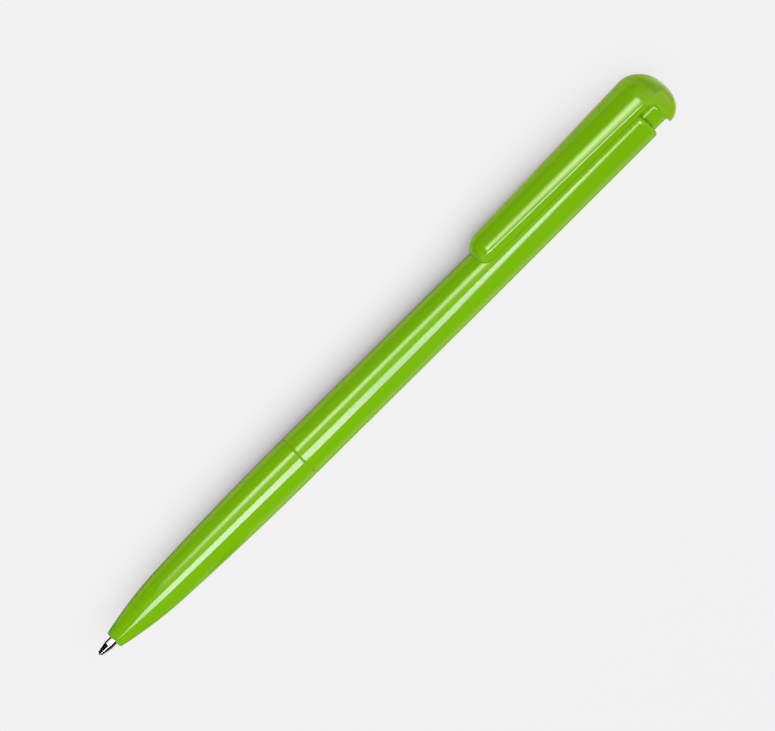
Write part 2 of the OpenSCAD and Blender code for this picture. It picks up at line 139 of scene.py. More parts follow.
class BarrelSizes(bpy.types.PropertyGroup):
    """Sizes of the two barrel halves"""
    nose_d: length("Nose end", "Diameter of the flat end of the nose", 3.25)
    nose_round: length("Nose edge", "Rounding of the edge round the nose end", 0.18)
    shoulder_d: length("Shoulder", "Diameter where the rounded nose meets the long curve", 6.98)
    ogive_len: length("Nose length", "Length of the rounded nose", 13.4)
    seam_round: length("Seam edge", "Rounding of the barrel's edges at the seam", 0.16)
    top_d: length("Top diameter", "Diameter of the barrel at its top end", 8.2)
    top_round: length("Top edge", "Rounding of the barrel's top end", 0.7)
    lip_rise: length("Lip", "Height of the faint lip before the rounded top end", 0.012)
    straight_len: length("Straight stretch", "Length above the seam before the barrel tapers", 38.0)
    bore_d: length("Bore", "Bore of the upper half", 6.6)
    spigot_gap: length("Spigot play", "Radial play of the spigot in the bore", 0.05)
    spigot_wall: length("Spigot wall", "Wall of the spigot", 0.8)
    thread_pitch: length("Thread pitch", "Pitch of the thread that joins the halves", 1.0)
    thread_depth: length("Thread depth", "Depth of that thread", 0.24)
    seat_s: length("Spring seat", "Station of the seat that carries the spring", 11.2)
    seat_ring: length("Seat ring", "Height of the ring inside the spring seat", 0.8)
    spring_room_d: length("Spring room", "Bore round the spring", 4.24)
    guide_d: length("Refill guide", "Bore that guides the refill tube", 3.34)
    stub_hole_d: length("Stub hole", "Bore round the tube's turned-down end", 3.0)
    land_s: length("Land", "Station where the bore narrows to the point", 6.4)
    nose_hole_d: length("Nose hole", "Hole that the metal point passes through", 1.88)
    nose_cone: length("Bore cones", "Length of the cones between the bores", 0.4)


class CamSizes(bpy.types.PropertyGroup):
    """Sizes of the click cam's guide inside the upper half"""
    ribs_s: length("Rib ends", "Station of the guide ribs' saw teeth", 112.1)
    saw_rise: length("Saw rise", "Rise of the saw teeth on the rib ends", 0.8)
    rib_lead: length("Rib lead", "Length of the steps before the ribs", 1.0)
    rib_d: length("Guide", "Diameter between the guide ribs", 4.4)
    slot_d: length("Slots", "Diameter at the bottom of the slots", 5.9)
    slot_w: length("Slot width", "Width of a slot", 1.7)
    slot_count: IntProperty(name="Slot count", description="Slots round the barrel", default=4, min=3)
    stop_s: length("Stop", "Station of the ring that stops the plunger", 121.0)
    ring_s: length("Ring top", "Station of the top of that ring", 122.2)
    ring_d: length("Ring hole", "Hole through that ring", 4.0)
    ring_bevel: length("Ring bevel", "Bevel at the ring hole's lower edge", 0.12)


class CapSizes(bpy.types.PropertyGroup):
    """Sizes of the dome, the clip and the neck"""
    cap_gap: length("Cap gap", "Gap between the barrel and the dome with the point out", 3.0)
    neck_d: length("Neck", "Diameter of the neck", 6.4)
    neck_depth: length("Neck depth", "How far the neck reaches into the barrel", 9.3)
    neck_fillet: length("Neck fillet", "Fillet between the neck and the dome", 0.4)
    neck_bevel: length("Neck bevel", "Bevel at the neck's lower end", 0.2)
    core_d: length("Core", "Hole in the neck that holds the plunger", 3.8)
    core_depth: length("Core depth", "How far that hole reaches into the dome", 0.8)
    back_r: length("Back radius", "Radius of the dome's round back", 4.05)
    dome_lead: length("Dome lead", "How far below its underside the dome's front starts to curve", 1.75)
    dome_back: length("Dome back", "Straight stretch at the dome's back before it curves", 0.4)
    crown_shift: length("Crown shift", "Distance of the crown from the pen's axis", 1.0)
    dome_edge: length("Dome edge", "Edge radius that the clip's edges grow to over the dome", 2.2)
    clip_len: length("Clip length", "Length of the clip below the dome's underside", 41.2)
    root_rise: length("Root rise", "Height of the clip's face above the barrel, at the dome", 3.32)
    root_r: length("Root radius", "Radius of the clip's face at the dome", 6.3)
    root_w: length("Root width", "Width of the clip at the dome", 8.46)
    free_rise: length("Free rise", "Height of the clip's face above the barrel, at its free end", 2.35)
    free_r: length("Free radius", "Radius of the clip's face at its free end", 4.45)
    free_w: length("Free width", "Width of the clip at its free end", 5.75)
    root_gap: length("Root gap", "Gap between barrel and the clip's lower edge, at the dome", 0.7)
    free_dip: length("Free dip", "How far the lower edge reaches down beside the barrel", 0.4)
    clip_edge: length("Clip edge", "Edge radius of the clip", 0.9)
    clip_gap: length("Pad gap", "Gap between the clip's pad and the barrel", 0.25)
    end_len: length("End length", "Length over which the free end is rounded", 3.4)
    clip_wall: length("Clip wall", "Wall of the hollow clip", 1.2)
    pad_len: length("Pad length", "Solid pad at the free end", 3.8)
    foot: length("Foot", "Size of the slope between clip and dome underside", 1.0)
    end_power: number("End fullness", "Fullness of the oval that rounds the free end", 2.4)
    dome_power: number("Dome fullness", "Fullness of the dome's ovals", 2.07)


class RefillSizes(bpy.types.PropertyGroup):
    """Sizes of the refill, its point and its spring"""
    tube_d: length("Tube", "Outer diameter of the refill tube", 3.1)
    tube_bore_d: length("Tube bore", "Bore of the refill tube", 2.2)
    stub_d: length("Stub", "Diameter of the tube's turned-down front end", 2.8)
    stub_len: length("Stub length", "Length of the tube's turned-down front end", 2.0)
    wing_span: length("Wing span", "Span across the crimped wings", 4.0)
    wing_thick: length("Wing thickness", "Thickness of a wing", 0.8)
    wing_len: length("Wing length", "Length of a wing along the tube", 4.0)
    wing_s: length("Wing station", "Station of the front of the wings", 27.5)
    tip_d: length("Point", "Diameter of the point's straight front", 1.68)
    cone_s: length("Cone", "Station of the back of the point's cone", 2.25)
    collar_s: length("Collar station", "Station of the front of the collar", 8.5)
    collar_d: length("Collar", "Diameter of the collar", 2.3)
    lip_wall: length("Lip", "Thickness of the lip round the ball", 0.05)
    ball_gap: length("Ball play", "Radial play of the ball in its socket", 0.02)
    feed_d: length("Feed hole", "Diameter of the feed hole behind the ball", 0.4)
    chamber_d: length("Chamber", "Diameter of the ink chamber in the stem", 1.1)
    ink_gap: length("Ink play", "Play between the ink and what holds it", 0.02)
    wire_d: length("Wire", "Diameter of the spring wire", 0.35)
    coil_gap: length("Coil play", "Play between the spring and the tube", 0.1)
    active_turns: number("Active turns", "Turns of the spring that work", 9.0)
    closed_turns: number("Closed turns", "Turns at each end that lie close together", 1.25)
    closed_share: number("Closed pitch", "Pitch of the closed turns, in wire diameters", 1.15)


class Finishes(bpy.types.PropertyGroup):
    """Colours and gloss"""
    lime: colour("Lime", "Colour of the barrel and cap", (0.20, 0.49, 0.004))
    front_gloss: share("Front gloss", "Roughness of the lower half", 0.06)
    rear_gloss: share("Rear gloss", "Roughness of the upper half", 0.09)
    cap_gloss: share("Cap gloss", "Roughness of the cap and clip", 0.055)
    natural: colour("Natural", "Colour of the undyed plastic inside", (0.80, 0.78, 0.70))
    tubing: colour("Tubing", "Colour of the clear refill tube", (0.90, 0.91, 0.90))
    nickel: colour("Nickel", "Colour of the metal point", (0.80, 0.79, 0.76))
    wire: colour("Wire", "Colour of the spring", (0.60, 0.60, 0.58))
    carbide: colour("Carbide", "Colour of the ball", (0.30, 0.30, 0.31))
    ink: colour("Ink", "Colour of the ink", (0.006, 0.012, 0.075))
    grease: colour("Grease", "Colour of the grease plug", (0.72, 0.66, 0.42))


class StageSettings(bpy.types.PropertyGroup):
    """Camera, floor and lights"""
    view_rise: turn("View", "Angle of the view above the clip's own direction", 45.0)
    image_turn: turn("Image turn", "Angle of the pen in the picture", 44.74)
    distance: length("Distance", "Camera to the pen", 1500.0)
    field: length("Field", "Width of the picture at the pen", 135.2)
    aim_along: offset("Aim along", "Where the view is centred, along the pen", -1.2)
    aim_across: offset("Aim across", "Where the view is centred, towards the clip", 0.409)
    floor: colour("Floor", "Colour of the floor and of what lies behind it", (0.887, 0.887, 0.887))
    overhead: number("Overhead light", "Brightness of the broad light over the floor", 1.19)
    front: number("Front light", "Brightness of the light on the floor from the clip's side", 2.5)
    key: number("Key light", "Brightness of the main light on the pen", 4.65)
    key_rise: turn("Key angle", "Angle of the main light over the pen, from the clip's side", 68.7)
    key_spread: turn("Key spread", "Angle that the main light covers", 31.0)
    side: number("Side light", "Brightness of the light that the clip keeps off the barrel", 2.92)
    side_rise: turn("Side angle", "Angle of that light over the pen, from the clip's side", 40.0)
    side_spread: turn("Side spread", "Angle that it covers", 14.0)
    fill: number("Fill light", "Brightness of the low light on the pen", 0.8)
    fill_rise: turn("Fill angle", "Angle of the low light over the pen, from the clip's side", 14.4)
    fill_spread: turn("Fill spread", "Angle that the low light covers", 19.0)
    back: number("Back light", "Brightness of the light from behind the pen", 2.27)
    back_rise: turn("Back angle", "Angle of the light from behind, from the clip's side", 125.0)
    back_spread: turn("Back spread", "Angle that the light from behind covers", 40.0)
    point_glow: number("Point glow", "Brightness of the three cards that the metal point mirrors", 1.1)
    key_glow: number("Key glow", "Brightness of the strip that gives the sharp highlight", 8.4)
    fill_glow: number("Fill glow", "Brightness of the strip that gives the soft highlight", 7.4)
    between_glow: number("Between glow", "Brightness of the tent between the two strips", 0.45)
    back_glow: number("Back glow", "Brightness of the pale card behind the pen", 0.3)
    shadow_lift: share("Shadow lift", "Share of the floor's paleness that no shadow takes", 0.33)


# Shapes as whole arrays

def mix(a, b, t):
    """From a, where t is 0, to b, where it is 1."""
    return a + (b - a) * t


def ease(t):
    """Smooth step: 0 below 0, 1 above 1."""
    u = np.clip(t, 0.0, 1.0)
    return u * u * (3.0 - 2.0 * u)


def pen_roll():
    """How far the pen rolls until the clip's widest edge is level with the foot of the barrel."""
    cap = bpy.context.scene.pen_cap
    edge_y = cap.root_w / 2 - cap.clip_edge
    height = BARREL_R + cap.root_rise
    edge_x = height - cap.root_r + math.sqrt((cap.root_r - cap.clip_edge) ** 2 - edge_y ** 2)
    level = math.asin((BARREL_R - cap.clip_edge) / math.hypot(edge_x, edge_y))
    return level - math.atan2(edge_y, edge_x)


def lay_down(points):
    """Pen coordinates to the frame: the axis lies along X, and the pen rests on the edge of its clip."""
    x, y, s = np.moveaxis(np.asarray(points, float), -1, 0)
    roll = pen_roll()
    cosine, sine = math.cos(roll), math.sin(roll)
    return np.stack([TIP_X - s, AXIS_Y - x * cosine - y * sine, AXIS_Z + y * cosine - x * sine], axis=-1)


def rounded(corners, steps=5):
    """Closed outline of corners (radius, station, rounding). A rounding becomes an arc that touches both
    sides of its corner."""
    points = np.array([corner[:2] for corner in corners])
    pieces = []
    for i, (_, _, rounding) in enumerate(corners):
        back = points[i - 1] - points[i]
        ahead = points[(i + 1) % len(points)] - points[i]
        back = back / np.linalg.norm(back)
        ahead = ahead / np.linalg.norm(ahead)
        half = np.arccos(np.clip(back @ ahead, -1.0, 1.0)) / 2
        if rounding == 0.0:
            pieces.append(points[i][None])
            continue
        middle = (back + ahead) / np.linalg.norm(back + ahead) * rounding / np.sin(half)
        start = back * rounding / np.tan(half) - middle
        end = ahead * rounding / np.tan(half) - middle
        sweep = math.pi - 2 * half
        t = even(steps)[:, None]
        bend = (np.sin((1 - t) * sweep) * start + np.sin(t * sweep) * end) / np.sin(sweep)
        pieces.append(points[i] + middle + bend)
    return np.concatenate(pieces)


# Distance of a brace from the end of a stretch, and the shortest stretch that gets braces
BRACE_GAP = 0.06 * MM
BRACED_FROM = 8 * BRACE_GAP


def braced(outline):
    """An outline with points added close to both ends of every long stretch, which keeps its shading
    true up to where a rounding starts."""
    outline = np.asarray(outline)
    step = np.diff(outline, axis=0)
    size = np.linalg.norm(step, axis=1)[:, None]
    unit = step / np.maximum(size, MERGE)
    gap = BRACE_GAP * unit
    points = np.stack([outline[:-1], outline[:-1] + gap, outline[1:] - gap], axis=1)
    stretch = size > BRACED_FROM
    keep = np.concatenate([np.ones_like(stretch), stretch, stretch], axis=1)
    return np.concatenate([points[keep], outline[-1:]])


def full_circle(sides):
    """A row of angles once round, with the first one repeated at the end."""
    return np.linspace(0.0, FULL_TURN, sides + 1)[None]


def turned(radius, station, angles):
    """Surface of revolution: rows of radius and station, either of which may vary with the angle."""
    radius, station, angles = np.broadcast_arrays(radius, station, angles)
    return np.stack([radius * np.cos(angles), radius * np.sin(angles), station], axis=-1)


def revolve(outline, angles):
    """An outline (radius, station) turned about the axis."""
    return turned(outline[:, :1], outline[:, 1:], angles)


def even(count, low=0.0, high=1.0):
    """Places that divide a stretch into a count of equal steps."""
    return np.linspace(low, high, count + 1)


def solve(function, low, high, steps=60):
    """Where a function that is positive at low and negative at high crosses zero, for whole arrays."""
    for _ in range(steps):
        middle = (low + high) / 2
        above = function(middle) > 0
        low = np.where(above, middle, low)
        high = np.where(above, high, middle)
    return (low + high) / 2


def cells(rows, columns, first=0):
    """The faces between the points of a grid, whose numbers count from the first."""
    index = np.arange(rows * columns).reshape(rows, columns) + first
    corners = [index[:-1, :-1], index[1:, :-1], index[1:, 1:], index[:-1, 1:]]
    return np.stack(corners, axis=-1).reshape(-1, 4)


def add_object(name, data):
    """A new object at the origin of the scene."""
    thing = bpy.data.objects.new(name, data)
    bpy.context.scene.collection.objects.link(thing)
    return thing


def closed_piece(name, grids):
    """One object from grids of points in pen coordinates. Every cell becomes a face, rows and columns
    that meet are merged, and faces are turned outwards. A skin with a hole is an error."""
    points, faces, places, count = [], [], [], 0
    for grid in grids:
        rows, columns = grid.shape[:2]
        faces.append(cells(rows, columns, count))
        points.append(lay_down(grid).reshape(-1, 3))
        across, along = np.meshgrid(np.linspace(0, 1, columns), np.linspace(0, 1, rows))
        places.append(np.stack([across, along], -1).reshape(-1, 2))
        count += rows * columns
    faces = np.concatenate(faces)
    mesh = bpy.data.meshes.new(name)
    mesh.from_pydata(np.concatenate(points).tolist(), [], faces.tolist())
    layer = mesh.uv_layers.new(name=SURFACE_MAP)
    layer.uv.foreach_set("vector", np.concatenate(places)[faces.ravel()].astype(np.float32).ravel())
    skin = bmesh.new()
    skin.from_mesh(mesh)
    bmesh.ops.remove_doubles(skin, verts=skin.verts, dist=MERGE)
    bmesh.ops.dissolve_degenerate(skin, edges=skin.edges, dist=MERGE)
    bmesh.ops.recalc_face_normals(skin, faces=skin.faces)
    holes = sum(not edge.is_manifold for edge in skin.edges)
    skin.to_mesh(mesh)
    skin.free()
    if holes:
        raise RuntimeError(f"{name}: {holes} edges of the skin don't join two faces")
    mesh.shade_smooth()
    mesh.set_sharp_from_angle(angle=SHARP_ANGLE)
    return add_object(name, mesh)


def seat(piece, body, node, material):
    """Gives a finished piece its material, the body that it rides on and the node that it stands for."""
    piece.data.materials.append(material)
    piece.visible_diffuse = False
    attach(piece, body)
    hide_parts(node)


# Barrel

# Sides round the barrel and its guide, rows along the barrel, steps of its top edge, and half the angle
# over which a saw tooth drops
BARREL_SIDES = 192
GUIDE_SIDES = 176
NOSE_ROWS = 56
LONG_ROWS = 26
STRAIGHT_ROWS = 12
TOP_STEPS = 12
SAW_STEP = 1e-5

# The faint lip: shares of its height, and millimetres from where the top edge starts to round
LIP_OUTLINE = np.array([(0.0, -0.55), (0.25, -0.30), (1.0, -0.12), (1.0, -0.06)])

# The thread: its rows, the plain stretch at both ends, and in turns a flank, half a groove and half a
# ridge. A ridge is as high as this share of the groove's depth
THREAD_ROWS = 120
THREAD_END = 0.7 * MM
THREAD_FLANK = 0.12
GROOVE_HALF = 0.34
RIDGE_HALF = 0.27
RIDGE_SHARE = 0.9


def thread(angles, station, pitch, half_width):
    """Depth, from 0 to 1, of a right-hand thread's groove of that half width, in turns."""
    place = np.mod(station / pitch - angles / FULL_TURN, 1.0)
    return ease((half_width - np.abs(place - 0.5)) / THREAD_FLANK)


def thread_stretch(barrel):
    """Stations along the thread, and how deep it is there: it runs out at both ends."""
    station = np.linspace(S_SEAM + THREAD_END, S_SPIGOT - THREAD_END, THREAD_ROWS)
    run_in = ease((station - station[0]) / barrel.thread_pitch)
    run_out = ease((station[-1] - station) / barrel.thread_pitch)
    return station[:, None], (run_in * run_out)[:, None]


def barrel_curves(barrel):
    """The skin of the lower half: an arc for the nose that runs into a long arc, level at the seam."""
    shoulder_s = S_NOSE + barrel.ogive_len
    long_len = S_SEAM - shoulder_s
    drop = BARREL_R - barrel.shoulder_d / 2
    long_r = (long_len ** 2 + drop ** 2) / (2 * drop)
    slope = long_len / (long_r - drop)
    slant = math.hypot(1.0, slope)
    rise = (barrel.shoulder_d - barrel.nose_d) / 2
    nose_r = (barrel.ogive_len ** 2 + rise ** 2) * slant / (2 * (rise - slope * barrel.ogive_len))
    centre_r = barrel.shoulder_d / 2 - nose_r / slant
    centre_s = shoulder_s + slope * nose_r / slant
    nose = np.linspace(S_NOSE + 2 * barrel.nose_round, shoulder_s, NOSE_ROWS)
    rear = np.linspace(shoulder_s, S_SEAM - 2 * barrel.seam_round, LONG_ROWS)[1:]
    nose_radius = centre_r + np.sqrt(nose_r ** 2 - (nose - centre_s) ** 2)
    rear_radius = BARREL_R - long_r + np.sqrt(long_r ** 2 - (S_SEAM - rear) ** 2)
    return np.stack([np.concatenate([nose_radius, rear_radius]), np.concatenate([nose, rear])], axis=-1)


def corner_arc(start, corner, end, steps=6):
    """Quarter of an oval that leaves one point and reaches the other along the sides of the corner."""
    start, corner, end = (np.array(point) for point in (start, corner, end))
    t = even(steps, 0.0, QUARTER)[:, None]
    return corner + (start - corner) * (1 - np.sin(t)) + (end - corner) * (1 - np.cos(t))


def lower_barrel_grids(barrel):
    """A turned shell: nose, long curve, seam edge and threaded spigot outside, stepped bore inside."""
    angles = full_circle(BARREL_SIDES)
    skin = barrel_curves(barrel)
    spigot_r = barrel.bore_d / 2 - barrel.spigot_gap
    nose_r = barrel.nose_d / 2
    nose_edge = corner_arc((nose_r - barrel.nose_round, S_NOSE), (nose_r, S_NOSE), skin[0])
    seam_edge = corner_arc(skin[-1], (BARREL_R, S_SEAM), (BARREL_R - barrel.seam_round, S_SEAM))
    outer = braced(np.concatenate([nose_edge, skin[1:-1], seam_edge, [[spigot_r, S_SEAM]]]))
    station, fade = thread_stretch(barrel)
    groove = thread(angles, station, barrel.thread_pitch, GROOVE_HALF)
    spigot = spigot_r - barrel.thread_depth * fade * groove
    cone, bevel = barrel.nose_cone, barrel.seam_round
    guide_r, stub_r, hole_r = barrel.guide_d / 2, barrel.stub_hole_d / 2, barrel.nose_hole_d / 2
    ring_s = barrel.seat_s - barrel.seat_ring
    inner = np.array([
        (spigot_r, S_SPIGOT - 2 * bevel), (spigot_r - bevel, S_SPIGOT),
        (spigot_r - barrel.spigot_wall, S_SPIGOT), (barrel.spring_room_d / 2, barrel.seat_s),
        (guide_r, barrel.seat_s), (guide_r, ring_s), (stub_r, ring_s - cone),
        (stub_r, barrel.land_s + cone), (hole_r, barrel.land_s),
        (hole_r, S_NOSE + barrel.nose_round), (hole_r + barrel.nose_round / 2, S_NOSE)])
    return [revolve(outer, angles),
            turned(np.concatenate([spigot[:1] * 0 + spigot_r, spigot]),
                   np.concatenate([[[S_SEAM]], station]), angles),
            turned(np.concatenate([spigot[-1:], inner[:, :1] + 0 * angles]),
                   np.concatenate([station[-1:], inner[:, 1:]]), angles),
            turned(np.array([inner[-1, :1], outer[0, :1]]), S_NOSE, angles)]


def cam_angles(cam):
    """Angles round the guide, with the corners of every slot and both sides of every tooth's step."""
    spread = np.arcsin(np.array([cam.slot_w / cam.slot_d, cam.slot_w / cam.rib_d]))
    corners = np.concatenate([-spread, spread])
    pitch = FULL_TURN / cam.slot_count
    step = pitch / 2 + np.array([-SAW_STEP, SAW_STEP])
    marks = np.concatenate([corners, step])[None] + pitch * np.arange(cam.slot_count)[:, None]
    angles = np.concatenate([full_circle(GUIDE_SIDES)[0], np.mod(marks, FULL_TURN).ravel()])
    return np.unique(angles)[None]


def upper_barrel_grids(barrel, cam):
    """A turned shell whose bore carries a thread at the seam and the slotted guide of the click cam."""
    angles = cam_angles(cam)
    bore_r, top_r = barrel.bore_d / 2, barrel.top_d / 2
    level = 0 * angles
    seam_edge = corner_arc((BARREL_R - barrel.seam_round, S_SEAM), (BARREL_R, S_SEAM),
                           (BARREL_R, S_SEAM + 2 * barrel.seam_round))
    taper_s = S_SEAM + barrel.straight_len
    straight = np.linspace(S_SEAM + 2 * barrel.seam_round, taper_s, STRAIGHT_ROWS)[1:]
    body = np.stack([0 * straight + BARREL_R, straight], axis=-1)
    top_round = min(barrel.top_round, top_r - bore_r - barrel.seam_round / 2)
    top_edge = corner_arc((top_r, S_TOP - top_round), (top_r, S_TOP), (top_r - top_round, S_TOP),
                          TOP_STEPS)
    lip = LIP_OUTLINE * (barrel.lip_rise, MM) + (top_r, S_TOP - top_round)
    ring_r = cam.ring_d / 2
    inside = [(bore_r, S_TOP), (bore_r, cam.ring_s), (ring_r, cam.ring_s),
              (ring_r, cam.stop_s + cam.ring_bevel), (ring_r + cam.ring_bevel, cam.stop_s)]
    outer = braced(np.concatenate([seam_edge, body, lip, top_edge, inside]))
    pitch = FULL_TURN / cam.slot_count
    across = np.abs(np.mod(angles + pitch / 2, pitch) - pitch / 2)
    wall_r = cam.slot_w / 2 / np.maximum(np.sin(across), TINY)
    guide_r = np.clip(wall_r, cam.rib_d / 2, cam.slot_d / 2)
    rib_half = pitch / 2 - np.arcsin(cam.slot_w / cam.slot_d)
    along_rib = (np.mod(angles, pitch) - pitch / 2) / rib_half
    rib_end = cam.ribs_s + cam.saw_rise * np.mod(along_rib, 1.0)
    station, fade = thread_stretch(barrel)
    ridge = thread(angles, station, barrel.thread_pitch, RIDGE_HALF)
    bore = bore_r - RIDGE_SHARE * barrel.thread_depth * fade * ridge
    slot_r = cam.slot_d / 2
    rows = [(ring_r + cam.ring_bevel + level, cam.stop_s + level), (guide_r, cam.stop_s + level),
            (guide_r, rib_end), (slot_r + level, rib_end),
            (slot_r + level, cam.ribs_s - cam.rib_lead + level),
            (bore_r + level, cam.ribs_s - 2 * cam.rib_lead + level)]
    inner_r = np.concatenate([row[0] for row in rows] + [bore[::-1], bore_r + level])
    inner_s = np.concatenate([row[1] for row in rows] + [station[::-1] + level, S_SEAM + level])
    seam_r = np.array([[bore_r], [BARREL_R - barrel.seam_round]])
    return [revolve(outer, angles), turned(inner_r, inner_s, angles), turned(seam_r, S_SEAM, angles)]


# Cap

# Columns round the cap and rows along it
FACE_COLUMNS = 28
EDGE_COLUMNS = 10
SIDE_COLUMNS = 8
SLOPE_COLUMNS = 8
FLAT_COLUMNS = 12
BACK_COLUMNS = 30
LIP_COLUMNS = 4
ROOF_COLUMNS = 32
END_ROWS = 30
PAD_ROWS = 3
BODY_ROWS = 36
WEB_ROWS = 3
START_ROWS = 3
DOME_ROWS = 44
UNDERSIDE_ROWS = 3
FILLET_STEPS = 8

# How much the free end's rows crowd towards its tip, the smallest angle they can start at, and the angle
# over the dome within which edges grow
END_CROWDING = 1.5
END_LEAST = 1e-6
EDGE_GROWTH = math.radians(50)


class CapForm:
    """The cap as functions. q runs round half of its outline: face 0 to 1, edge to 2, straight side to 3
    and round back to 4. Rows run from the clip's free end over its body to the crown of the dome."""

    def __init__(self, cap):
        self.cap = cap
        self.s_dome = S_TOP + cap.cap_gap
        self.s_front = self.s_dome - cap.dome_lead
        self.s_back = self.s_dome + cap.dome_back
        self.s_free = self.s_dome - cap.clip_len
        self.s_foot = self.s_dome - cap.foot
        self.s_pad = self.s_free + cap.pad_len
        self.s_hollow = self.s_front - cap.clip_wall / 2
        self.foot_x = BARREL_R + cap.root_gap - cap.foot
        self.pad_r = BARREL_R + cap.clip_gap

    def along(self, free, root, s):
        """A measure that changes evenly from the clip's free end to its root."""
        return mix(free, root, (s - self.s_free) / (self.s_front - self.s_free))

    def face(self, s):
        """Height of the face's centre of curvature, its radius and half the clip's width."""
        cap = self.cap
        radius = self.along(cap.free_r, cap.root_r, s)
        height = BARREL_R + self.along(cap.free_rise, cap.root_rise, s)
        return height - radius, radius, self.along(cap.free_w, cap.root_w, s) / 2

    def under(self, s):
        """Height of the clip's lower edge above the axis."""
        cap = self.cap
        free = cap.clip_gap - cap.free_dip
        return BARREL_R + mix(free, cap.root_gap, (s - self.s_free) / cap.clip_len)

    def outline(self, s, edge, q):
        """Half outline across the pen: face arc, edge arc, line that touches edge and back, back arc."""
        back_r = self.cap.back_r
        centre, radius, half_w = self.face(s)
        hub_y = half_w - edge
        hub_x = centre + np.sqrt((radius - edge) ** 2 - hub_y ** 2)
        lean = np.arctan2(hub_y, hub_x - centre)
        side = np.arctan2(hub_y, hub_x) + np.arccos((back_r - edge) / np.hypot(hub_x, hub_y))
        on_face = lean * np.clip(q, 0, 1)
        on_edge = mix(lean, side, np.clip(q - 1, 0, 1))
        on_side = np.clip(q - 2, 0, 1)
        on_back = mix(side, math.pi, np.clip(q - 3, 0, 1))
        edge_x, edge_y = hub_x + edge * np.cos(on_edge), hub_y + edge * np.sin(on_edge)
        back_x, back_y = back_r * np.cos(on_back), back_r * np.sin(on_back)
        face_x, face_y = centre + radius * np.cos(on_face), radius * np.sin(on_face)
        x = np.where(q < 1, face_x, mix(edge_x, back_x, on_side))
        y = np.where(q < 1, face_y, mix(edge_y, back_y, on_side))
        return x, y

    def free_end(self, a, q):
        """The outline drawn in towards the lower edge along a full oval, over a quarter turn of a."""
        power = 2 / self.cap.end_power
        s = self.s_free + self.cap.end_len * (1 - np.cos(a) ** power)
        reach = np.sin(a) ** power
        x, y = self.outline(s, self.cap.clip_edge, q)
        return mix(self.under(s), x, reach), y * reach, s + 0 * x

    def body(self, s, q):
        """The outline as it is."""
        x, y = self.outline(s, self.cap.clip_edge, q)
        return x, y, s + 0 * x

    def dome(self, a, q):
        """Each meridian is a full quarter oval to the crown, longer at the face than at the back."""
        cap = self.cap
        power = 2 / cap.dome_power
        edge = mix(cap.clip_edge, cap.dome_edge, ease(a / EDGE_GROWTH))
        x, y = self.outline(self.s_front, edge, q)
        reach = np.maximum(np.cos(a), 0.0) ** power
        back = (1 - (x - cap.crown_shift) / np.hypot(x - cap.crown_shift, y)) / 2
        foot = mix(self.s_front, self.s_back, back)
        return mix(cap.crown_shift, x, reach), y * reach, mix(foot, S_END, np.sin(a) ** power)

    def above_clip_edge(self, x, y, s):
        """Positive outside what is cut away under the clip and for the pad."""
        arch = np.sqrt(np.maximum(self.pad_r ** 2 - y ** 2, 0.0))
        arch = np.where(s < self.s_pad, arch, 0.0)
        return x - np.maximum(self.under(s), arch)

    def above_underside(self, x, y, s):
        """Positive above the dome's flat underside and in front of the foot's slope."""
        slope = (self.under(self.s_foot) - self.foot_x) / self.cap.foot
        return np.maximum(s - self.s_dome, x - self.foot_x - slope * (self.s_dome - s))


def mirrored(grid):
    """The grid on the other side of the plane through axis and clip."""
    return grid * np.array([1.0, -1.0, 1.0])


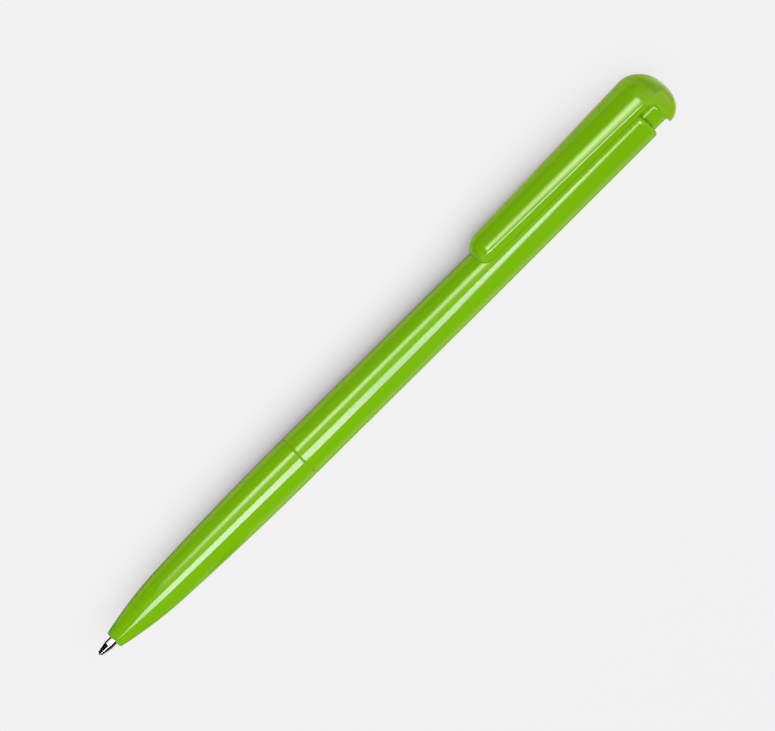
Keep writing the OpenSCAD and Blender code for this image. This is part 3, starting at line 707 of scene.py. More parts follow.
def push_cap_grids(cap):
    """The dome, the hollow clip and the neck as grids that share their edges."""
    form = CapForm(cap)
    fixed_q = np.concatenate([even(FACE_COLUMNS)[:-1], even(EDGE_COLUMNS, 1, 2)])
    side_share = even(SIDE_COLUMNS)[1:]

    # Columns of the clip's skin stop where the lower edge cuts the outline
    def skin_rows(surface, rows):
        rows = np.asarray(rows, float)[:, None]
        cut = solve(lambda q: form.above_clip_edge(*surface(rows, q)), 0 * rows, 3.0 + 0 * rows)
        side_q = 2 + np.maximum(cut - 2, 0) * side_share
        q = np.minimum(np.concatenate([fixed_q + 0 * cut, side_q], axis=1), cut)
        return np.stack(surface(rows, q), axis=-1), cut

    first = solve(lambda a: -form.above_clip_edge(*form.free_end(a, 0.0)), END_LEAST, QUARTER)
    end_rows = mix(first, QUARTER, even(END_ROWS) ** END_CROWDING)
    s_end_rows = form.s_free + cap.end_len
    pad_rows = even(PAD_ROWS, s_end_rows, form.s_pad)[1:]
    hollow_rows = even(BODY_ROWS, form.s_pad, form.s_hollow)
    web_rows = even(WEB_ROWS, form.s_hollow, form.s_front)[1:]

    def foot_gap(a):
        cut = solve(lambda q: form.above_clip_edge(*form.dome(a, q)), 0.0, 3.0)
        return form.s_foot - form.dome(a, cut)[2]

    corner = solve(foot_gap, 0.0, QUARTER / 2)
    dome_start = even(START_ROWS, 0.0, corner)
    blocks = [skin_rows(form.free_end, end_rows), skin_rows(form.body, pad_rows),
              skin_rows(form.body, hollow_rows[1:]), skin_rows(form.body, web_rows),
              skin_rows(form.dome, dome_start)]
    clip = np.concatenate([block[0] for block in blocks])
    corner_q = float(blocks[-1][1][-1, 0])

    # Above the corner the front columns run on to the crown
    rise = even(DOME_ROWS)[:, None]
    front_q = np.concatenate([fixed_q, mix(2, corner_q, side_share)])[None]
    front = np.stack(form.dome(mix(corner, QUARTER, rise), front_q), axis=-1)

    # Behind the corner each column starts at the foot's slope or at the flat underside
    def underside_gap(q):
        a = solve(lambda a: form.s_dome - form.dome(a, q)[2], 0.0, QUARTER / 2)
        return form.dome(a, q)[0] - form.foot_x

    slope_q = solve(underside_gap, corner_q, 3.0)
    back_q = np.concatenate([even(SLOPE_COLUMNS, corner_q, slope_q), even(FLAT_COLUMNS, slope_q, 3)[1:],
                             even(BACK_COLUMNS, 3, 4)[1:]])[None]
    level = 0 * back_q
    start = solve(lambda a: -form.above_underside(*form.dome(a, back_q)), level, level + QUARTER)
    start[0, 0] = corner
    back = np.stack(form.dome(mix(start, QUARTER, rise), back_q), axis=-1)
    rim = back[:1].copy()
    rim[..., 2] = np.minimum(rim[..., 2], form.s_dome)
    rim[0, SLOPE_COLUMNS:, 2] = form.s_dome
    back = np.concatenate([rim, back])

    # The clip from below, and the foot's slope, ruled across the clip in the same columns
    below = clip_underside(form, clip, len(end_rows) + len(pad_rows), len(hollow_rows) - 1)
    width = below[-1, :, 1] / below[-1, 0, 1]
    across = np.stack([0 * width + 1, width, 0 * width + 1], axis=-1)
    slope = rim[0, :SLOPE_COLUMNS + 1, None, :] * across

    # The flat underside, from its edge to the neck's fillet
    flat_rim = rim[0, SLOPE_COLUMNS:]
    edge_loop = np.concatenate([flat_rim, mirrored(flat_rim[:-1])[::-1], slope[-1, ::-1]])
    neck_r = cap.neck_d / 2
    fillet_r = neck_r + cap.neck_fillet
    bearing = np.arctan2(edge_loop[:, 1], edge_loop[:, 0])
    fillet_loop = turned(fillet_r, form.s_dome, bearing)
    underside = mix(edge_loop, fillet_loop, even(UNDERSIDE_ROWS)[:, None, None])

    # The neck, with the hole that holds the plunger
    s_neck = S_TOP - cap.neck_depth
    fillet = corner_arc((fillet_r, form.s_dome), (neck_r, form.s_dome),
                        (neck_r, form.s_dome - cap.neck_fillet), FILLET_STEPS)
    core_r, s_core = cap.core_d / 2, form.s_dome + cap.core_depth
    lower = np.array([(neck_r, s_neck + cap.neck_bevel), (neck_r - cap.neck_bevel, s_neck),
                      (core_r, s_neck), (core_r, s_core), (0.0, s_core)])
    profile = braced(np.concatenate([fillet, lower]))
    neck = revolve(profile, bearing[None])

    return [clip, mirrored(clip), front, mirrored(front), back, mirrored(back),
            below, slope, underside, neck]


def clip_underside(form, clip, pad_count, hollow_count):
    """The clip from below: arched pad, two lips with the hollow between them, web before the dome."""
    cap = form.cap
    edge = clip[:, -1]
    off = np.arange(len(edge))
    rows = np.concatenate([off[:pad_count], off[pad_count - 1:pad_count + hollow_count],
                           off[pad_count + hollow_count - 1:]])
    hollow = np.zeros(len(rows), bool)
    hollow[pad_count:pad_count + hollow_count + 1] = True
    edge_y, s = edge[rows, 1, None], edge[rows, 2, None]
    pad = np.arange(len(rows))[:, None] < pad_count
    level = form.under(s)
    centre, radius, half_w = form.face(s)
    inner_w, inner_r = half_w - cap.clip_wall, radius - cap.clip_wall
    arch_w = np.minimum(np.sqrt(np.maximum(form.pad_r ** 2 - level ** 2, 0.0)), edge_y)
    hollow = hollow[:, None]
    inner_y = np.where(pad, arch_w, inner_w)
    lip_y = mix(edge_y, inner_y, even(LIP_COLUMNS))
    lip_x = np.where(pad & (lip_y <= arch_w), np.sqrt(form.pad_r ** 2 - lip_y ** 2), level)
    roof_y = inner_y * even(ROOF_COLUMNS, 1, -1)
    roof_x = np.where(hollow, centre + np.sqrt(inner_r ** 2 - roof_y ** 2), level)
    roof_x = np.where(pad, np.sqrt(form.pad_r ** 2 - roof_y ** 2), roof_x)
    y = np.concatenate([lip_y, roof_y, -lip_y[:, ::-1]], axis=1)
    x = np.concatenate([lip_x, roof_x, lip_x[:, ::-1]], axis=1)
    return np.stack([x, y, s + 0 * x], axis=-1)


# Refill

# Sides round each piece, and rows along it or steps of each turn
TUBE_SIDES = 96
POINT_SIDES = 96
SOCKET_ROWS = 24
BALL_ROWS = 48
INK_SIDES = 72
GREASE_ROWS = 14
WIRE_STEPS = 56
WIRE_SIDES = 14

# Small roundings: edges of the tube, lip and cone of the point, edges of its collar and stem
TUBE_EDGE = 0.1 * MM
LIP_BEND = 0.02 * MM
CONE_BEND = 0.3 * MM
POINT_BEND = 0.06 * MM

# A wing from front to rear: shares of its length, and of its reach
WING_ALONG = np.array([0.0, 0.0, 0.25, 0.5, 0.625, 0.75, 0.875, 1.0])[:, None]
WING_REACH = np.array([0.0, 1.0, 1.0, 1.0, 0.75, 0.5, 0.25, 0.0])[:, None]

# Depth of the grease plug's hollow end, in shares of its radius
GREASE_HOLLOW = 0.35


def refill_tube_grids(refill):
    """A turned tube. Two crimped wings stand out of it, square to the spring and running out behind."""
    half_thick = refill.wing_thick / 2
    tube_r, span = refill.tube_d / 2, refill.wing_span / 2
    marks = np.arcsin(half_thick / np.array([tube_r, math.hypot(span, half_thick)]))
    marks = np.concatenate([marks, math.pi - marks, math.pi + marks, FULL_TURN - marks])
    angles = np.unique(np.concatenate([full_circle(TUBE_SIDES)[0], marks]))[None]
    stub_s = S_STUB + refill.stub_len
    front = rounded([(refill.tube_bore_d / 2, S_STUB, 0.0), (refill.stub_d / 2, S_STUB, TUBE_EDGE),
                     (refill.stub_d / 2, stub_s - TUBE_EDGE, 0.0), (tube_r, stub_s, 0.0)])
    wing_s = refill.wing_s + refill.wing_len * WING_ALONG
    across = np.minimum(mix(tube_r, span, WING_REACH) / np.maximum(np.abs(np.cos(angles)), TINY),
                        half_thick / np.maximum(np.abs(np.sin(angles)), TINY))
    wings = np.where(WING_REACH > 0, np.maximum(tube_r, across), tube_r)
    rear = np.array([(tube_r, S_REFILL_END - TUBE_EDGE), (tube_r - TUBE_EDGE, S_REFILL_END),
                     (refill.tube_bore_d / 2, S_REFILL_END), (refill.tube_bore_d / 2, S_STUB)])
    level = 0 * angles
    radius = np.concatenate([front[:, :1] + level, wings, rear[:, :1] + level])
    station = np.concatenate([front[:, 1:], wing_s, rear[:, 1:]])
    return [turned(radius, station, angles)]


def point_grid(refill):
    """A turned metal point: socket and lip round the ball, cone, straight front, collar, bored stem."""
    socket_r = BALL_R + refill.ball_gap
    mouth_r = math.sqrt(socket_r ** 2 - (BALL_R - S_LIP) ** 2)
    feed_r, bore_r, chamber_r = refill.feed_d / 2, refill.tube_bore_d / 2, refill.chamber_d / 2
    tip_r, collar_r = refill.tip_d / 2, refill.collar_d / 2
    body = rounded([(mouth_r, S_LIP, 0.0), (mouth_r + refill.lip_wall, S_LIP, LIP_BEND),
                    (tip_r, refill.cone_s, CONE_BEND), (tip_r, refill.collar_s, 0.0),
                    (collar_r, refill.collar_s, POINT_BEND), (collar_r, S_STUB, POINT_BEND),
                    (bore_r, S_STUB, 0.0), (bore_r, S_STEM, 2 * POINT_BEND),
                    (chamber_r, S_STEM, POINT_BEND), (chamber_r, S_STUB, 0.0),
                    (feed_r, S_STUB - refill.chamber_d, 0.0), (feed_r, refill.cone_s, 0.0)])
    from_axis = np.linspace(math.asin(feed_r / socket_r), math.pi - math.asin(mouth_r / socket_r),
                            SOCKET_ROWS)
    socket = np.stack([socket_r * np.sin(from_axis), BALL_R + socket_r * np.cos(from_axis)], axis=-1)
    loop = braced(np.concatenate([body, socket[:-1]]))
    return [revolve(np.concatenate([loop, loop[:1]]), full_circle(POINT_SIDES))]


def ball_grid():
    """A sphere about the middle of the ball."""
    from_axis = even(BALL_ROWS, 0.0, math.pi)[:, None]
    return [turned(BALL_R * np.sin(from_axis), BALL_R - BALL_R * np.cos(from_axis),
                   full_circle(POINT_SIDES))]


def ink_grid(refill):
    """Ink in the feed hole, the chamber and the tube, turned about the axis."""
    gap = refill.ink_gap
    widths = (refill.feed_d, refill.chamber_d, refill.tube_bore_d)
    feed_r, chamber_r, bore_r = (width / 2 - gap for width in widths)
    outline = np.array([(0.0, S_INK_FRONT), (feed_r, S_INK_FRONT),
                        (feed_r, S_STUB - refill.chamber_d + gap), (chamber_r, S_STUB + gap),
                        (chamber_r, S_STEM + gap), (bore_r, S_STEM + gap),
                        (bore_r, S_INK_REAR), (0.0, S_INK_REAR)])
    return [revolve(outline, full_circle(INK_SIDES))]


def grease_grid(refill):
    """A plug whose open end is drawn up along the tube's wall."""
    bore_r = refill.tube_bore_d / 2 - refill.ink_gap
    hollow = np.linspace(1, 0, GREASE_ROWS)
    radius = np.concatenate([[0.0, bore_r], bore_r * hollow])
    dip = GREASE_HOLLOW * bore_r * (1 - hollow ** 2)
    station = np.concatenate([[S_INK_REAR, S_INK_REAR], S_GREASE_REAR - dip])
    return [turned(radius[:, None], station[:, None], full_circle(INK_SIDES))]


def spring_grid(refill):
    """A wire carried along a helix that is close at both ends and open between them."""
    wire_r = refill.wire_d / 2
    coil_r = refill.tube_d / 2 + refill.coil_gap + wire_r
    turns = refill.active_turns + 2 * refill.closed_turns
    t = even(int(turns * WIRE_STEPS), 0.0, turns)[:, None]
    closed_pitch = refill.closed_share * refill.wire_d
    rise = S_SPRING_REAR - S_SPRING_FRONT - refill.wire_d
    pitch = (rise - 2 * refill.closed_turns * closed_pitch) / refill.active_turns
    low = np.minimum(t, refill.closed_turns)
    high = np.maximum(t - refill.closed_turns - refill.active_turns, 0)
    station = S_SPRING_FRONT + wire_r + (low + high) * closed_pitch + (t - low - high) * pitch
    about = full_circle(WIRE_SIDES)
    size = np.concatenate([[[0.0]], np.full((len(t), 1), wire_r), [[0.0]]])
    place = np.concatenate([station[:1], station, station[-1:]])
    bearing = FULL_TURN * np.concatenate([t[:1], t, t[-1:]])
    return [turned(coil_r + size * np.cos(about), place + size * np.sin(about), bearing)]


# Finishes

# Numbers of the mix node's colour sockets
MIX_FIRST, MIX_SECOND, MIX_RESULT = 6, 7, 2

# Hairlines: bearings, tilt, scale along each axis, the range of noise that shows, and their shares
HAIR_BEARINGS = (0.35, 2.1)
HAIR_TILT = 0.4
HAIR_STRETCH = (90, 2600, 2600)
HAIR_RANGE = (0.70, 0.80)
HAIR_ROUGHNESS = 0.35
HAIR_HEIGHT = -0.5

# Depth of all handling marks, scale of the smears, scales of the streaks in plastic and wire, roughness
# along the wire, and scale and range of the ink's film on the ball
MARK_DEPTH = 0.01 * MM
SMEAR_SCALE = 260.0
FLOW_STRETCH = (25, 240, 240)
WIRE_STRETCH = (40, 30, 1)
WIRE_ROUGHNESS = (0.16, 0.34)
FILM_SCALE = 1800.0
FILM_RANGE = (0.45, 0.62)


def new_group(name, inputs, outputs):
    """An empty node group with float or vector sockets, and its input and output nodes."""
    tree = bpy.data.node_groups.new(name, "ShaderNodeTree")
    for socket, kind in inputs:
        tree.interface.new_socket(name=socket, in_out="INPUT", socket_type=kind)
    for socket in outputs:
        tree.interface.new_socket(name=socket, in_out="OUTPUT", socket_type="NodeSocketFloat")
    return tree, tree.nodes.new("NodeGroupInput"), tree.nodes.new("NodeGroupOutput")


def set_values(node, values):
    """Sets sockets of a node by name or number."""
    for key, value in values.items():
        node.inputs[key].default_value = value


def add(tree, kind, settings=(), values=(), links=()):
    """A node with its settings, the values of its sockets and what is linked into them."""
    node = tree.nodes.new(kind)
    for key, value in dict(settings).items():
        setattr(node, key, value)
    set_values(node, dict(values))
    for key, source in dict(links).items():
        tree.links.new(source, node.inputs[key])
    return node


def add_math(tree, operation, *terms, clamp=False):
    """The result of a calculation whose terms are plain numbers or what other nodes give."""
    plain = {i: term for i, term in enumerate(terms) if isinstance(term, float)}
    given = {i: term for i, term in enumerate(terms) if i not in plain}
    settings = {"operation": operation, "use_clamp": clamp}
    return add(tree, "ShaderNodeMath", settings, plain, given).outputs[0]


def add_noise(tree, vector, scale, detail, distortion=0.0):
    """Noise over a vector."""
    values = {"Scale": scale, "Detail": detail, "Distortion": distortion}
    return add(tree, "ShaderNodeTexNoise", values=values, links={"Vector": vector}).outputs["Fac"]


def add_streaks(tree, vector, stretch, detail, rotation=(0.0, 0.0, 0.0), distortion=0.0):
    """Noise that is drawn out by a scale along each axis, and turned."""
    lay = add(tree, "ShaderNodeMapping", values={"Rotation": rotation, "Scale": stretch},
              links={"Vector": vector})
    return add_noise(tree, lay.outputs["Vector"], 1.0, detail, distortion)


def add_range(tree, value, given=(0.0, 1.0), result=(0.0, 1.0)):
    """A value carried from a given range to another one."""
    ends = {"From Min": given[0], "From Max": given[1], "To Min": result[0], "To Max": result[1]}
    return add(tree, "ShaderNodeMapRange", values=ends, links={"Value": value}).outputs["Result"]


def add_relief(tree, shader, height, strength, distance):
    """A faint bump on a material."""
    relief = add(tree, "ShaderNodeBump", values={"Strength": strength, "Distance": distance},
                 links={"Height": height})
    tree.links.new(relief.outputs["Normal"], shader.inputs["Normal"])


def add_colour(tree, shader, factor, first, second):
    """A base colour that goes from the first to the second with a factor."""
    blend = add(tree, "ShaderNodeMix", {"data_type": "RGBA"},
                {MIX_FIRST: (*first, 1), MIX_SECOND: (*second, 1)}, {"Factor": factor})
    tree.links.new(blend.outputs[MIX_RESULT], shader.inputs["Base Color"])


def surface_marks_group():
    """Soft smears and fine hairlines of handling: a roughness that varies, and a height for bump."""
    sockets = [("Vector", "NodeSocketVector"), ("Roughness", "NodeSocketFloat"),
               ("Spread", "NodeSocketFloat")]
    tree, given, result = new_group("surface_marks", sockets, ["Roughness", "Height"])
    vector = given.outputs["Vector"]
    smear = add_noise(tree, vector, SMEAR_SCALE, detail=3.0)
    hairs = []
    for bearing in HAIR_BEARINGS:
        rotation = (bearing, HAIR_TILT, bearing)
        noise = add_streaks(tree, vector, HAIR_STRETCH, detail=2.0, rotation=rotation)
        hairs.append(add_range(tree, noise, HAIR_RANGE))
    both = add_math(tree, "MAXIMUM", *hairs)
    wave = add_math(tree, "MULTIPLY_ADD", both, HAIR_ROUGHNESS, add_math(tree, "SUBTRACT", smear, 0.5))
    rough = add_math(tree, "MULTIPLY_ADD", wave, given.outputs["Spread"], given.outputs["Roughness"],
                     clamp=True)
    tree.links.new(rough, result.inputs["Roughness"])
    tree.links.new(add_math(tree, "MULTIPLY_ADD", both, HAIR_HEIGHT, smear), result.inputs["Height"])
    return tree


def flow_tone_group():
    """The tone of faint streaks along the pen, as a dye that is not wholly mixed leaves them."""
    tree, given, result = new_group("flow_tone", [("Vector", "NodeSocketVector")], ["Tone"])
    tone = add_streaks(tree, given.outputs["Vector"], FLOW_STRETCH, detail=4.0, distortion=0.6)
    tree.links.new(tone, result.inputs["Tone"])
    return tree


def shared_group(name, make):
    """A node group that is made once and then used again."""
    return bpy.data.node_groups.get(name) or make()


def blank_material(name):
    """A new material with its tree, its main shader and the place on the object."""
    material = bpy.data.materials.new(name)
    material.use_nodes = True
    tree = material.node_tree
    place = add(tree, "ShaderNodeTexCoord").outputs["Object"]
    return material, tree, tree.nodes["Principled BSDF"], place


def add_marks(tree, shader, place, roughness, spread):
    """Puts the shared handling marks on a material's roughness, and gives their height."""
    group = shared_group("surface_marks", surface_marks_group)
    marks = add(tree, "ShaderNodeGroup", {"node_tree": group},
                {"Roughness": roughness, "Spread": spread}, {"Vector": place})
    tree.links.new(marks.outputs["Roughness"], shader.inputs["Roughness"])
    return marks.outputs["Height"]


def add_tone(tree, shader, place, base, spread):
    """Base colour that the shared flow streaks make a little lighter and darker."""
    group = shared_group("flow_tone", flow_tone_group)
    tone = add(tree, "ShaderNodeGroup", {"node_tree": group}, links={"Vector": place})
    dark = [c * (1 - spread) for c in base]
    light = [min(c * (1 + spread), 1) for c in base]
    add_colour(tree, shader, tone.outputs["Tone"], dark, light)


def moulded(name, base, tone, roughness, spread, bump, values=()):
    """A material with flow streaks in its colour, and handling marks as roughness and faint bump."""
    material, tree, shader, place = blank_material(name)
    add_tone(tree, shader, place, base, tone)
    add_relief(tree, shader, add_marks(tree, shader, place, roughness, spread), bump, MARK_DEPTH)
    set_values(shader, dict(values))
    return material


def lime_plastic(name, finish, roughness):
    """Glossy dyed plastic. The duller it is, the more its skin waves."""
    return moulded(name, finish.lime, tone=0.05, roughness=roughness, spread=0.05, bump=0.2 * roughness,
                   values={"IOR": 1.5})


def natural_plastic(finish):
    """Undyed, slightly waxy plastic."""
    return moulded("natural_plastic", finish.natural, tone=0.04, roughness=0.38, spread=0.12, bump=0.10,
                   values={"Subsurface Weight": 0.15, "Subsurface Radius": (0.001, 0.0009, 0.0007)})


def clear_tubing(finish):
    """Milky clear tube that shows the ink inside."""
    return moulded("clear_tubing", finish.tubing, tone=0.03, roughness=0.10, spread=0.06, bump=0.03,
                   values={"Transmission Weight": 0.96, "IOR": 1.38})


def paste(name, base, roughness):
    """Wet paste: ink or grease."""
    return moulded(name, base, tone=0.15, roughness=roughness, spread=0.10, bump=0.12)


def turned_metal(finish):
    """Nickel silver with the fine rings that turning leaves."""
    material, tree, shader, place = blank_material("turned_nickel")
    set_values(shader, {"Metallic": 1.0})
    add_tone(tree, shader, place, finish.nickel, spread=0.03)
    marks = add_marks(tree, shader, place, roughness=0.08, spread=0.04)
    rings = add(tree, "ShaderNodeTexWave", {"wave_type": "BANDS", "bands_direction": "X"},
                {"Scale": 5200.0, "Distortion": 0.4, "Detail": 1.0}, {"Vector": place})
    both = add_math(tree, "ADD", rings.outputs["Fac"], marks)
    add_relief(tree, shader, both, strength=0.02, distance=0.002 * MM)
    return material


def drawn_wire(finish):
    """Spring steel with streaks along the wire, laid on the wire's own surface map."""
    material, tree, shader, place = blank_material("drawn_wire")
    set_values(shader, {"Metallic": 1.0})
    add_tone(tree, shader, place, finish.wire, spread=0.06)
    surface = add(tree, "ShaderNodeUVMap", {"uv_map": SURFACE_MAP})
    streaks = add_streaks(tree, surface.outputs["UV"], WIRE_STRETCH, detail=3.0)
    tree.links.new(add_range(tree, streaks, result=WIRE_ROUGHNESS), shader.inputs["Roughness"])
    add_relief(tree, shader, streaks, strength=0.15, distance=0.005 * MM)
    return material


def inked_ball(finish):
    """Ground carbide with a broken film of ink."""
    material, tree, shader, place = blank_material("inked_carbide")
    marks = add_marks(tree, shader, place, roughness=0.16, spread=0.10)
    add_relief(tree, shader, marks, strength=0.05, distance=MARK_DEPTH)
    film = add_range(tree, add_noise(tree, place, FILM_SCALE, detail=3.0), FILM_RANGE)
    add_colour(tree, shader, film, finish.carbide, finish.ink)
    tree.links.new(add_math(tree, "SUBTRACT", 1.0, film), shader.inputs["Metallic"])
    return material


# Operators

class PEN_OT_lower_barrel(bpy.types.Operator):
    """Builds the lower half of the barrel with its threaded spigot"""
    bl_idname = "pen.lower_barrel"
    bl_label = "Lower barrel"

    def execute(self, context):
        finish = context.scene.pen_finishes
        piece = closed_piece("lower_barrel_moulding", lower_barrel_grids(context.scene.pen_barrel))
        material = lime_plastic("lime_front", finish, finish.front_gloss)
        seat(piece, "front", "lower_barrel", material)
        return {"FINISHED"}


class PEN_OT_upper_barrel(bpy.types.Operator):
    """Builds the upper half of the barrel with the click cam's guide inside"""
    bl_idname = "pen.upper_barrel"
    bl_label = "Upper barrel"

    def execute(self, context):
        scene, finish = context.scene, context.scene.pen_finishes
        grids = upper_barrel_grids(scene.pen_barrel, scene.pen_cam)
        piece = closed_piece("upper_barrel_moulding", grids)
        material = lime_plastic("lime_rear", finish, finish.rear_gloss)
        seat(piece, "barrel", "upper_barrel", material)
        return {"FINISHED"}


class PEN_OT_push_cap(bpy.types.Operator):
    """Builds the dome, the hollow clip and the neck as one moulding"""
    bl_idname = "pen.push_cap"
    bl_label = "Push cap and clip"

    def execute(self, context):
        finish = context.scene.pen_finishes
        piece = closed_piece("push_cap_moulding", push_cap_grids(context.scene.pen_cap))
        material = lime_plastic("lime_cap", finish, finish.cap_gloss)
        seat(piece, "button", "push_cap", material)
        return {"FINISHED"}


class PEN_OT_click_cam(bpy.types.Operator):
    """Finishes the plunger and the cam rotor"""
    bl_idname = "pen.click_cam"
    bl_label = "Click cam"

    def execute(self, context):
        material = natural_plastic(context.scene.pen_finishes)
        for node in ("plunger", "cam_rotor"):
            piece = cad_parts[node]
            piece.data.materials.clear()
            piece.data.materials.append(material)
        return {"FINISHED"}


class PEN_OT_refill(bpy.types.Operator):
    """Builds the refill tube with its ink and grease"""
    bl_idname = "pen.refill"
    bl_label = "Refill"

    def execute(self, context):
        sizes, finish = context.scene.pen_refill, context.scene.pen_finishes
        tube = closed_piece("refill_tubing", refill_tube_grids(sizes))
        seat(tube, "refill", "refill_tube", clear_tubing(finish))
        ink = closed_piece("ink_paste", ink_grid(sizes))
        seat(ink, "refill", "ink_column", paste("ink_paste", finish.ink, roughness=0.18))
        grease = closed_piece("grease_plug", grease_grid(sizes))
        plug = paste("grease_plug", finish.grease, roughness=0.25)
        seat(grease, "refill", "ink_follower", plug)
        return {"FINISHED"}


class PEN_OT_point(bpy.types.Operator):
    """Builds the metal point and the ball in its socket"""
    bl_idname = "pen.point"
    bl_label = "Point and ball"

    def execute(self, context):
        finish = context.scene.pen_finishes
        point = closed_piece("refill_point", point_grid(context.scene.pen_refill))
        seat(point, "refill", "refill_tip", turned_metal(finish))
        ball = closed_piece("rolling_ball", ball_grid())
        seat(ball, "ball", "writing_ball", inked_ball(finish))
        return {"FINISHED"}


class PEN_OT_spring(bpy.types.Operator):
    """Builds the return spring that sits between the barrel and the refill"""
    bl_idname = "pen.spring"
    bl_label = "Return spring"

    def execute(self, context):
        spring = closed_piece("spring_wire", spring_grid(context.scene.pen_refill))
        spring.data.materials.append(drawn_wire(context.scene.pen_finishes))
        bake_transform(spring)
        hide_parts("return_spring")
        return {"FINISHED"}


# Stage

# Radius and half length of the light tent, height of the card on the floor, half the floor's width, and
# the attribute that holds a card's glow
CARD_R = 0.5
CARD_HALF = 1.6
FLOOR_LIFT = 0.05 * MM
FLOOR_HALF = 6.0
GLOW = "glow"

# Grid lines of the light tent and of the card on the floor, as stretches with their counts
TENT_X = ((-CARD_HALF, -0.2, 12), (-0.2, 0.35, 221), (0.35, CARD_HALF, 12))
TENT_RISE = ((0.0, math.pi, 361),)
FLOOR_X = ((-CARD_HALF, -CARD_HALF, 1), (-0.16, -0.082, 40), (-0.08, 0.06, 141), (0.064, 0.066, 9),
           (CARD_HALF, CARD_HALF, 1))
FLOOR_Y = ((-CARD_R, -CARD_R, 1), (-0.08, -0.015, 34), (-0.013, -0.0025, 85), (-1e-6, 1e-6, 2),
           (0.002, 0.08, 40), (CARD_R, CARD_R, 1))

# Tints of the tent: the key strip, the key strip over the clip, the soft strip, the glow beside it, the
# card behind, the glow past the cap and the far end
KEY_WHITE = np.array([1.03, 0.91, 1.04])
KEY_WARM = np.array([1.85, 1.93, 1.0])
WARM = np.array([1.45, 1.5, 1.0])
LEAF = np.array([2.2, 2.2, 0.8])
CREAM = np.array([0.7, 0.65, 0.15])
PAST_CAP = np.array([1.25, 1.15, 0.2])
FAR_END = np.array([0.7, 0.8, 0.4])

# Tints of the floor in reflections: on the clip's side and behind the pen; past the cap, behind it,
# under it, on the clip's side and farther out
FLOOR_FRONT = np.array([0.8, 0.85, 0.25])
FLOOR_BACK = np.array([0.5, 0.5, 0.3])
END_BEHIND = np.array([1.3, 1.3, 0.75])
END_UNDER = np.array([1.35, 1.4, 0.45])
END_BESIDE = np.array([0.7, 0.95, 0.15])
END_FAR = np.array([1.2, 1.2, 0.25])

# Outline of the key strip: places along the pen, and the angles of its lower and upper edge there
KEY_LOW_X = (-0.05, -0.02, 0.05, 0.12, 0.17, 0.225, 0.27, 0.32)
KEY_LOW = (51.8, 53.2, 53.2, 50.6, 47.9, 53.6, 63.2, 74.2)
KEY_HIGH_X = (-0.085, -0.068, -0.054, -0.045, -0.035, -0.0265, -0.018, 0.02, 0.037, 0.076, 0.32)
KEY_HIGH = (60.5, 63.5, 68.5, 71.0, 74.0, 77.5, 82.0, 85.0, 81.8, 79.8, 76.2)

# Softness of its edges in degrees: the lower one, and the upper one along the pen
KEY_LOW_SOFT = 1.6
KEY_HIGH_SOFT_X = (-0.045, -0.02)
KEY_HIGH_SOFT = (9.0, 2.0)

# How bright the key strip is along the pen
KEY_LEVEL_X = (-0.105, -0.082, -0.073, -0.064, -0.054, -0.047, -0.040, -0.033, -0.0265, -0.015, 0.003,
               0.010, 0.017, 0.024, 0.031, 0.05, 0.11, 0.22)
KEY_LEVEL = (0.0, 0.68, 0.87, 1.04, 1.17, 1.42, 1.31, 1.28, 1.16, 1.11, 0.90, 1.20, 1.42, 1.25, 1.22,
             1.42, 1.33, 1.0)

# How wide the fill strip is in degrees, and how bright, along the pen
FILL_WIDE_X = (-0.035, -0.02)
FILL_WIDE = (7.6, 6.3)
FILL_LEVEL_X = (-0.06, -0.04, -0.025, -0.008, 0.008)
FILL_LEVEL = (1.08, 1.04, 0.88, 0.88, 1.0)

# Fades along the tent: where each starts or ends, and over what length
CAP_SIDE = (-0.16, 0.09)
KEY_AHEAD = (0.33, 0.02)
KEY_WARM_SIDE = (-0.046, 0.039)
FILL_AHEAD = (0.155, 0.11)
BETWEEN_AHEAD = (0.30, 0.2)
BACK_DIM_FROM = (0.08, 0.01)
BACK_GAP_FROM = (0.061, 0.003)
BACK_GAP_TO = (0.08, 0.003)
PAST_SIDE = (-0.072, 0.12)
FAR_SIDE = (-0.3, 0.4)
AHEAD_FROM = (0.42, 0.1)

# Fades over the tent, in degrees
BETWEEN_LOW = (17, 8)
BETWEEN_HIGH = (55, 4)
BACK_LOW = (135, 6)
PALE_LOW = (146, 14)

# What is left of the card behind ahead of the pen, and how bright the tent is ahead of the point
BACK_DIM = 0.3
AHEAD_GLOW = 0.6

# How far the pale floor reaches on the clip's side: places along the pen, the reach there, its softness
FLAG_X = (-0.070, -0.046, -0.026, -0.022)
FLAG_REACH = (0.0112, 0.0093, 0.0083, 0.0069)
FLAG_SOFT = 0.4 * MM

# Fades over the floor: close to the barrel's foot, where painted shade darkens the floor in reflections,
# and the brightness left in that painted shade; past the cap, between the tints past the cap, and at the
# point
FOOT_SHADE_FROM = (3.0 * MM, 1.2 * MM)
FOOT_PAINTED_SHADE = 0.3
END_SIDE = (-0.069, 0.004)
UNDER_FROM = (0.0, 2.5 * MM)
BESIDE_FROM = (4.5 * MM, 3.0 * MM)
CAP_FOOT_X = -0.07
END_FAR_FROM = (0.01, 0.06)
POINT_SIDE = (0.0655, 0.001)

# How strong the pen's shadow is along the pen: millimetres, and shares of the whole shadow
SHADOW_X = (-71.8, -69.0, -66.6, -61.4, -50.9, -40.4, -30.0, -19.5, 20.6, 31.1, 41.6, 52.0, 59.0, 64.2,
            69.5)
SHADOW = (0.12, 0.18, 0.25, 0.42, 0.67, 0.88, 0.92, 1.0, 0.94, 0.86, 0.73, 0.55, 0.37, 0.27, 0.15)
SHADOW_HALF = 75

